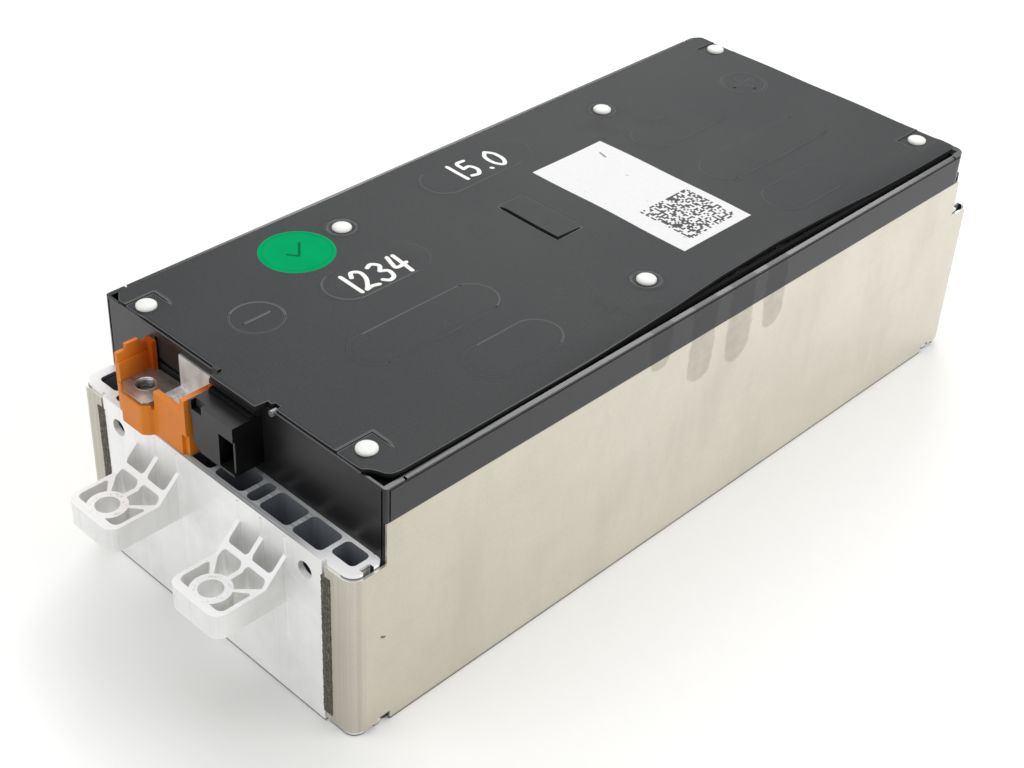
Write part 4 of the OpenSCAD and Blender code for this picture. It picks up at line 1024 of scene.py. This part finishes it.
# Weld beads

def make_welds():
    """Four uneven seams, from seeded random heights."""
    low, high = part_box("weld_beads")
    rng = np.random.default_rng(7)
    nx, nz = 14, 190
    parts = []
    for sx, sy in ((-1, -1), (-1, 1), (1, -1), (1, 1)):
        vertices = []
        raw = rng.random((nz + 1, nx + 1))
        soft = (raw + np.roll(raw, 1, 0) + np.roll(raw, 1, 1)) / 3
        wave = rng.random(nz + 1)
        for r in range(nz + 1):
            z = low.z + (high.z - low.z) * r / nz
            shift = 0.0004 * (wave[r] - 0.5)
            ends = min(1, r / 3, (nz - r) / 3)
            for c in range(nx + 1):
                u = c / nx
                crown = math.sin(math.pi * u) ** 0.6
                y = PLATE_FACE + (0.00012 + 0.00046 * soft[r, c] * crown) * ends
                x = high.x - WELD_WIDE + WELD_WIDE * u + shift * (c in (0, nx))
                vertices.append((sx * x, sy * y, z))
        order = (0, 1, 2, 3) if sx * sy < 0 else (3, 2, 1, 0)
        parts.append((vertices, quads(nz + 1, nx + 1, False, order)))
    add_mesh("weld_seams", *join(parts), "weld", "weld_beads", 70)


make_welds()

# Bevel width, and whether neighbouring bevels are kept apart
for node_name, bevel_width, keep_apart in (
        ("top_frame", 0.00022, False), ("front_terminal_shroud", 0.00025, True),
        ("rear_terminal_shroud", 0.00025, True), ("connector_housing", 0.00025, False),
        ("front_end_plate", 0.0002, True), ("rear_end_plate", 0.0002, True)):
    soften(node_name, bevel_width, keep_apart)

write_figures("marker_figures_long", "1234", (-0.0130, -0.1015), (0.0072, 0.0125), 0.0016)
write_figures("marker_figures_short", "15.0", (-0.0470, -0.0140), (0.0080, 0.0125), 0.0018)


# Floor, light and camera

WORLD_LIGHT = 0.70
# Name, place, size, power and aim
LAMPS = [
    ("key", (-1.3, 1.5, 1.6), (1.3, 1.0), 18, (0, 0, 0.05)),
    ("front", (-0.3, -1.0, 1.8), (1.2, 1.0), 8, (0, 0, 0.05)),
    ("side", (1.6, 0.8, 1.0), (1.2, 1.0), 13, (0, 0.08, 0.05)),
]
CAMERA_PLACE = (0.389184, -0.456060, 0.459574)
CAMERA_RIGHT = (0.71451, 0.698125, 0.045789)
CAMERA_UP = (-0.439303, 0.39675, 0.805979)
CAMERA_BACK = (0.544508, -0.595995, 0.590171)
CAMERA_SENSOR, CAMERA_LENS = 36, 61.40


def make_stage():
    bpy.ops.mesh.primitive_plane_add(size=8, location=(0, 0, 0))
    floor = bpy.context.active_object
    floor.name = "floor"
    n = Nodes("floor_paper")
    tone = n.ramp(n.noise(60, 4, 0.6), (0.3, 0.80), (0.7, (0.83, 0.83, 0.82)))
    # The paper looks whiter to the camera and in mirrors than the light it gives
    rays = n.new("ShaderNodeLightPath", {})
    seen = n.most(rays.outputs["Is Camera Ray"], rays.outputs["Is Glossy Ray"])
    # Painted shadow on the paper in front of the module, as the camera sees it
    shade = n.spot((0.03, -0.205, 0), (0.10, 0.055, 1.0), 1.0)
    white = n.mix(shade, (0.985, 0.985, 0.975), (0.68, 0.68, 0.665))
    paper = n.finish(n.mix(seen, tone, white), 0.7, 0.0, specular=0.2)
    n.put(n.bsdf.inputs["Emission Color"], (1, 1, 0.985))
    n.put(n.bsdf.inputs["Emission Strength"], n.mul(seen, 0.03))
    floor.data.materials.append(paper)
    world = bpy.data.worlds.new("studio")
    scene.world = world
    world.use_nodes = True
    background = world.node_tree.nodes["Background"]
    background.inputs["Color"].default_value = (1, 1, 1, 1)
    background.inputs["Strength"].default_value = WORLD_LIGHT
    for name, place, size, power, aim in LAMPS:
        lamp = bpy.data.lights.new(name, "AREA")
        lamp.shape = "RECTANGLE"
        lamp.size, lamp.size_y = size
        lamp.energy = power
        holder = bpy.data.objects.new(name, lamp)
        scene.collection.objects.link(holder)
        holder.location = place
        holder.rotation_mode = "QUATERNION"
        holder.rotation_quaternion = (Vector(aim) - Vector(place)).to_track_quat("-Z", "Y")


def make_camera():
    data = bpy.data.cameras.new("camera")
    camera = bpy.data.objects.new("camera", data)
    scene.collection.objects.link(camera)
    data.sensor_width = CAMERA_SENSOR
    data.lens = CAMERA_LENS
    data.clip_start = 0.01
    turn = Matrix((CAMERA_RIGHT, CAMERA_UP, CAMERA_BACK)).transposed()
    camera.matrix_world = Matrix.Translation(CAMERA_PLACE) @ turn.to_4x4()
    scene.camera = camera


make_stage()
make_camera()
scene.view_settings.view_transform = "Standard"
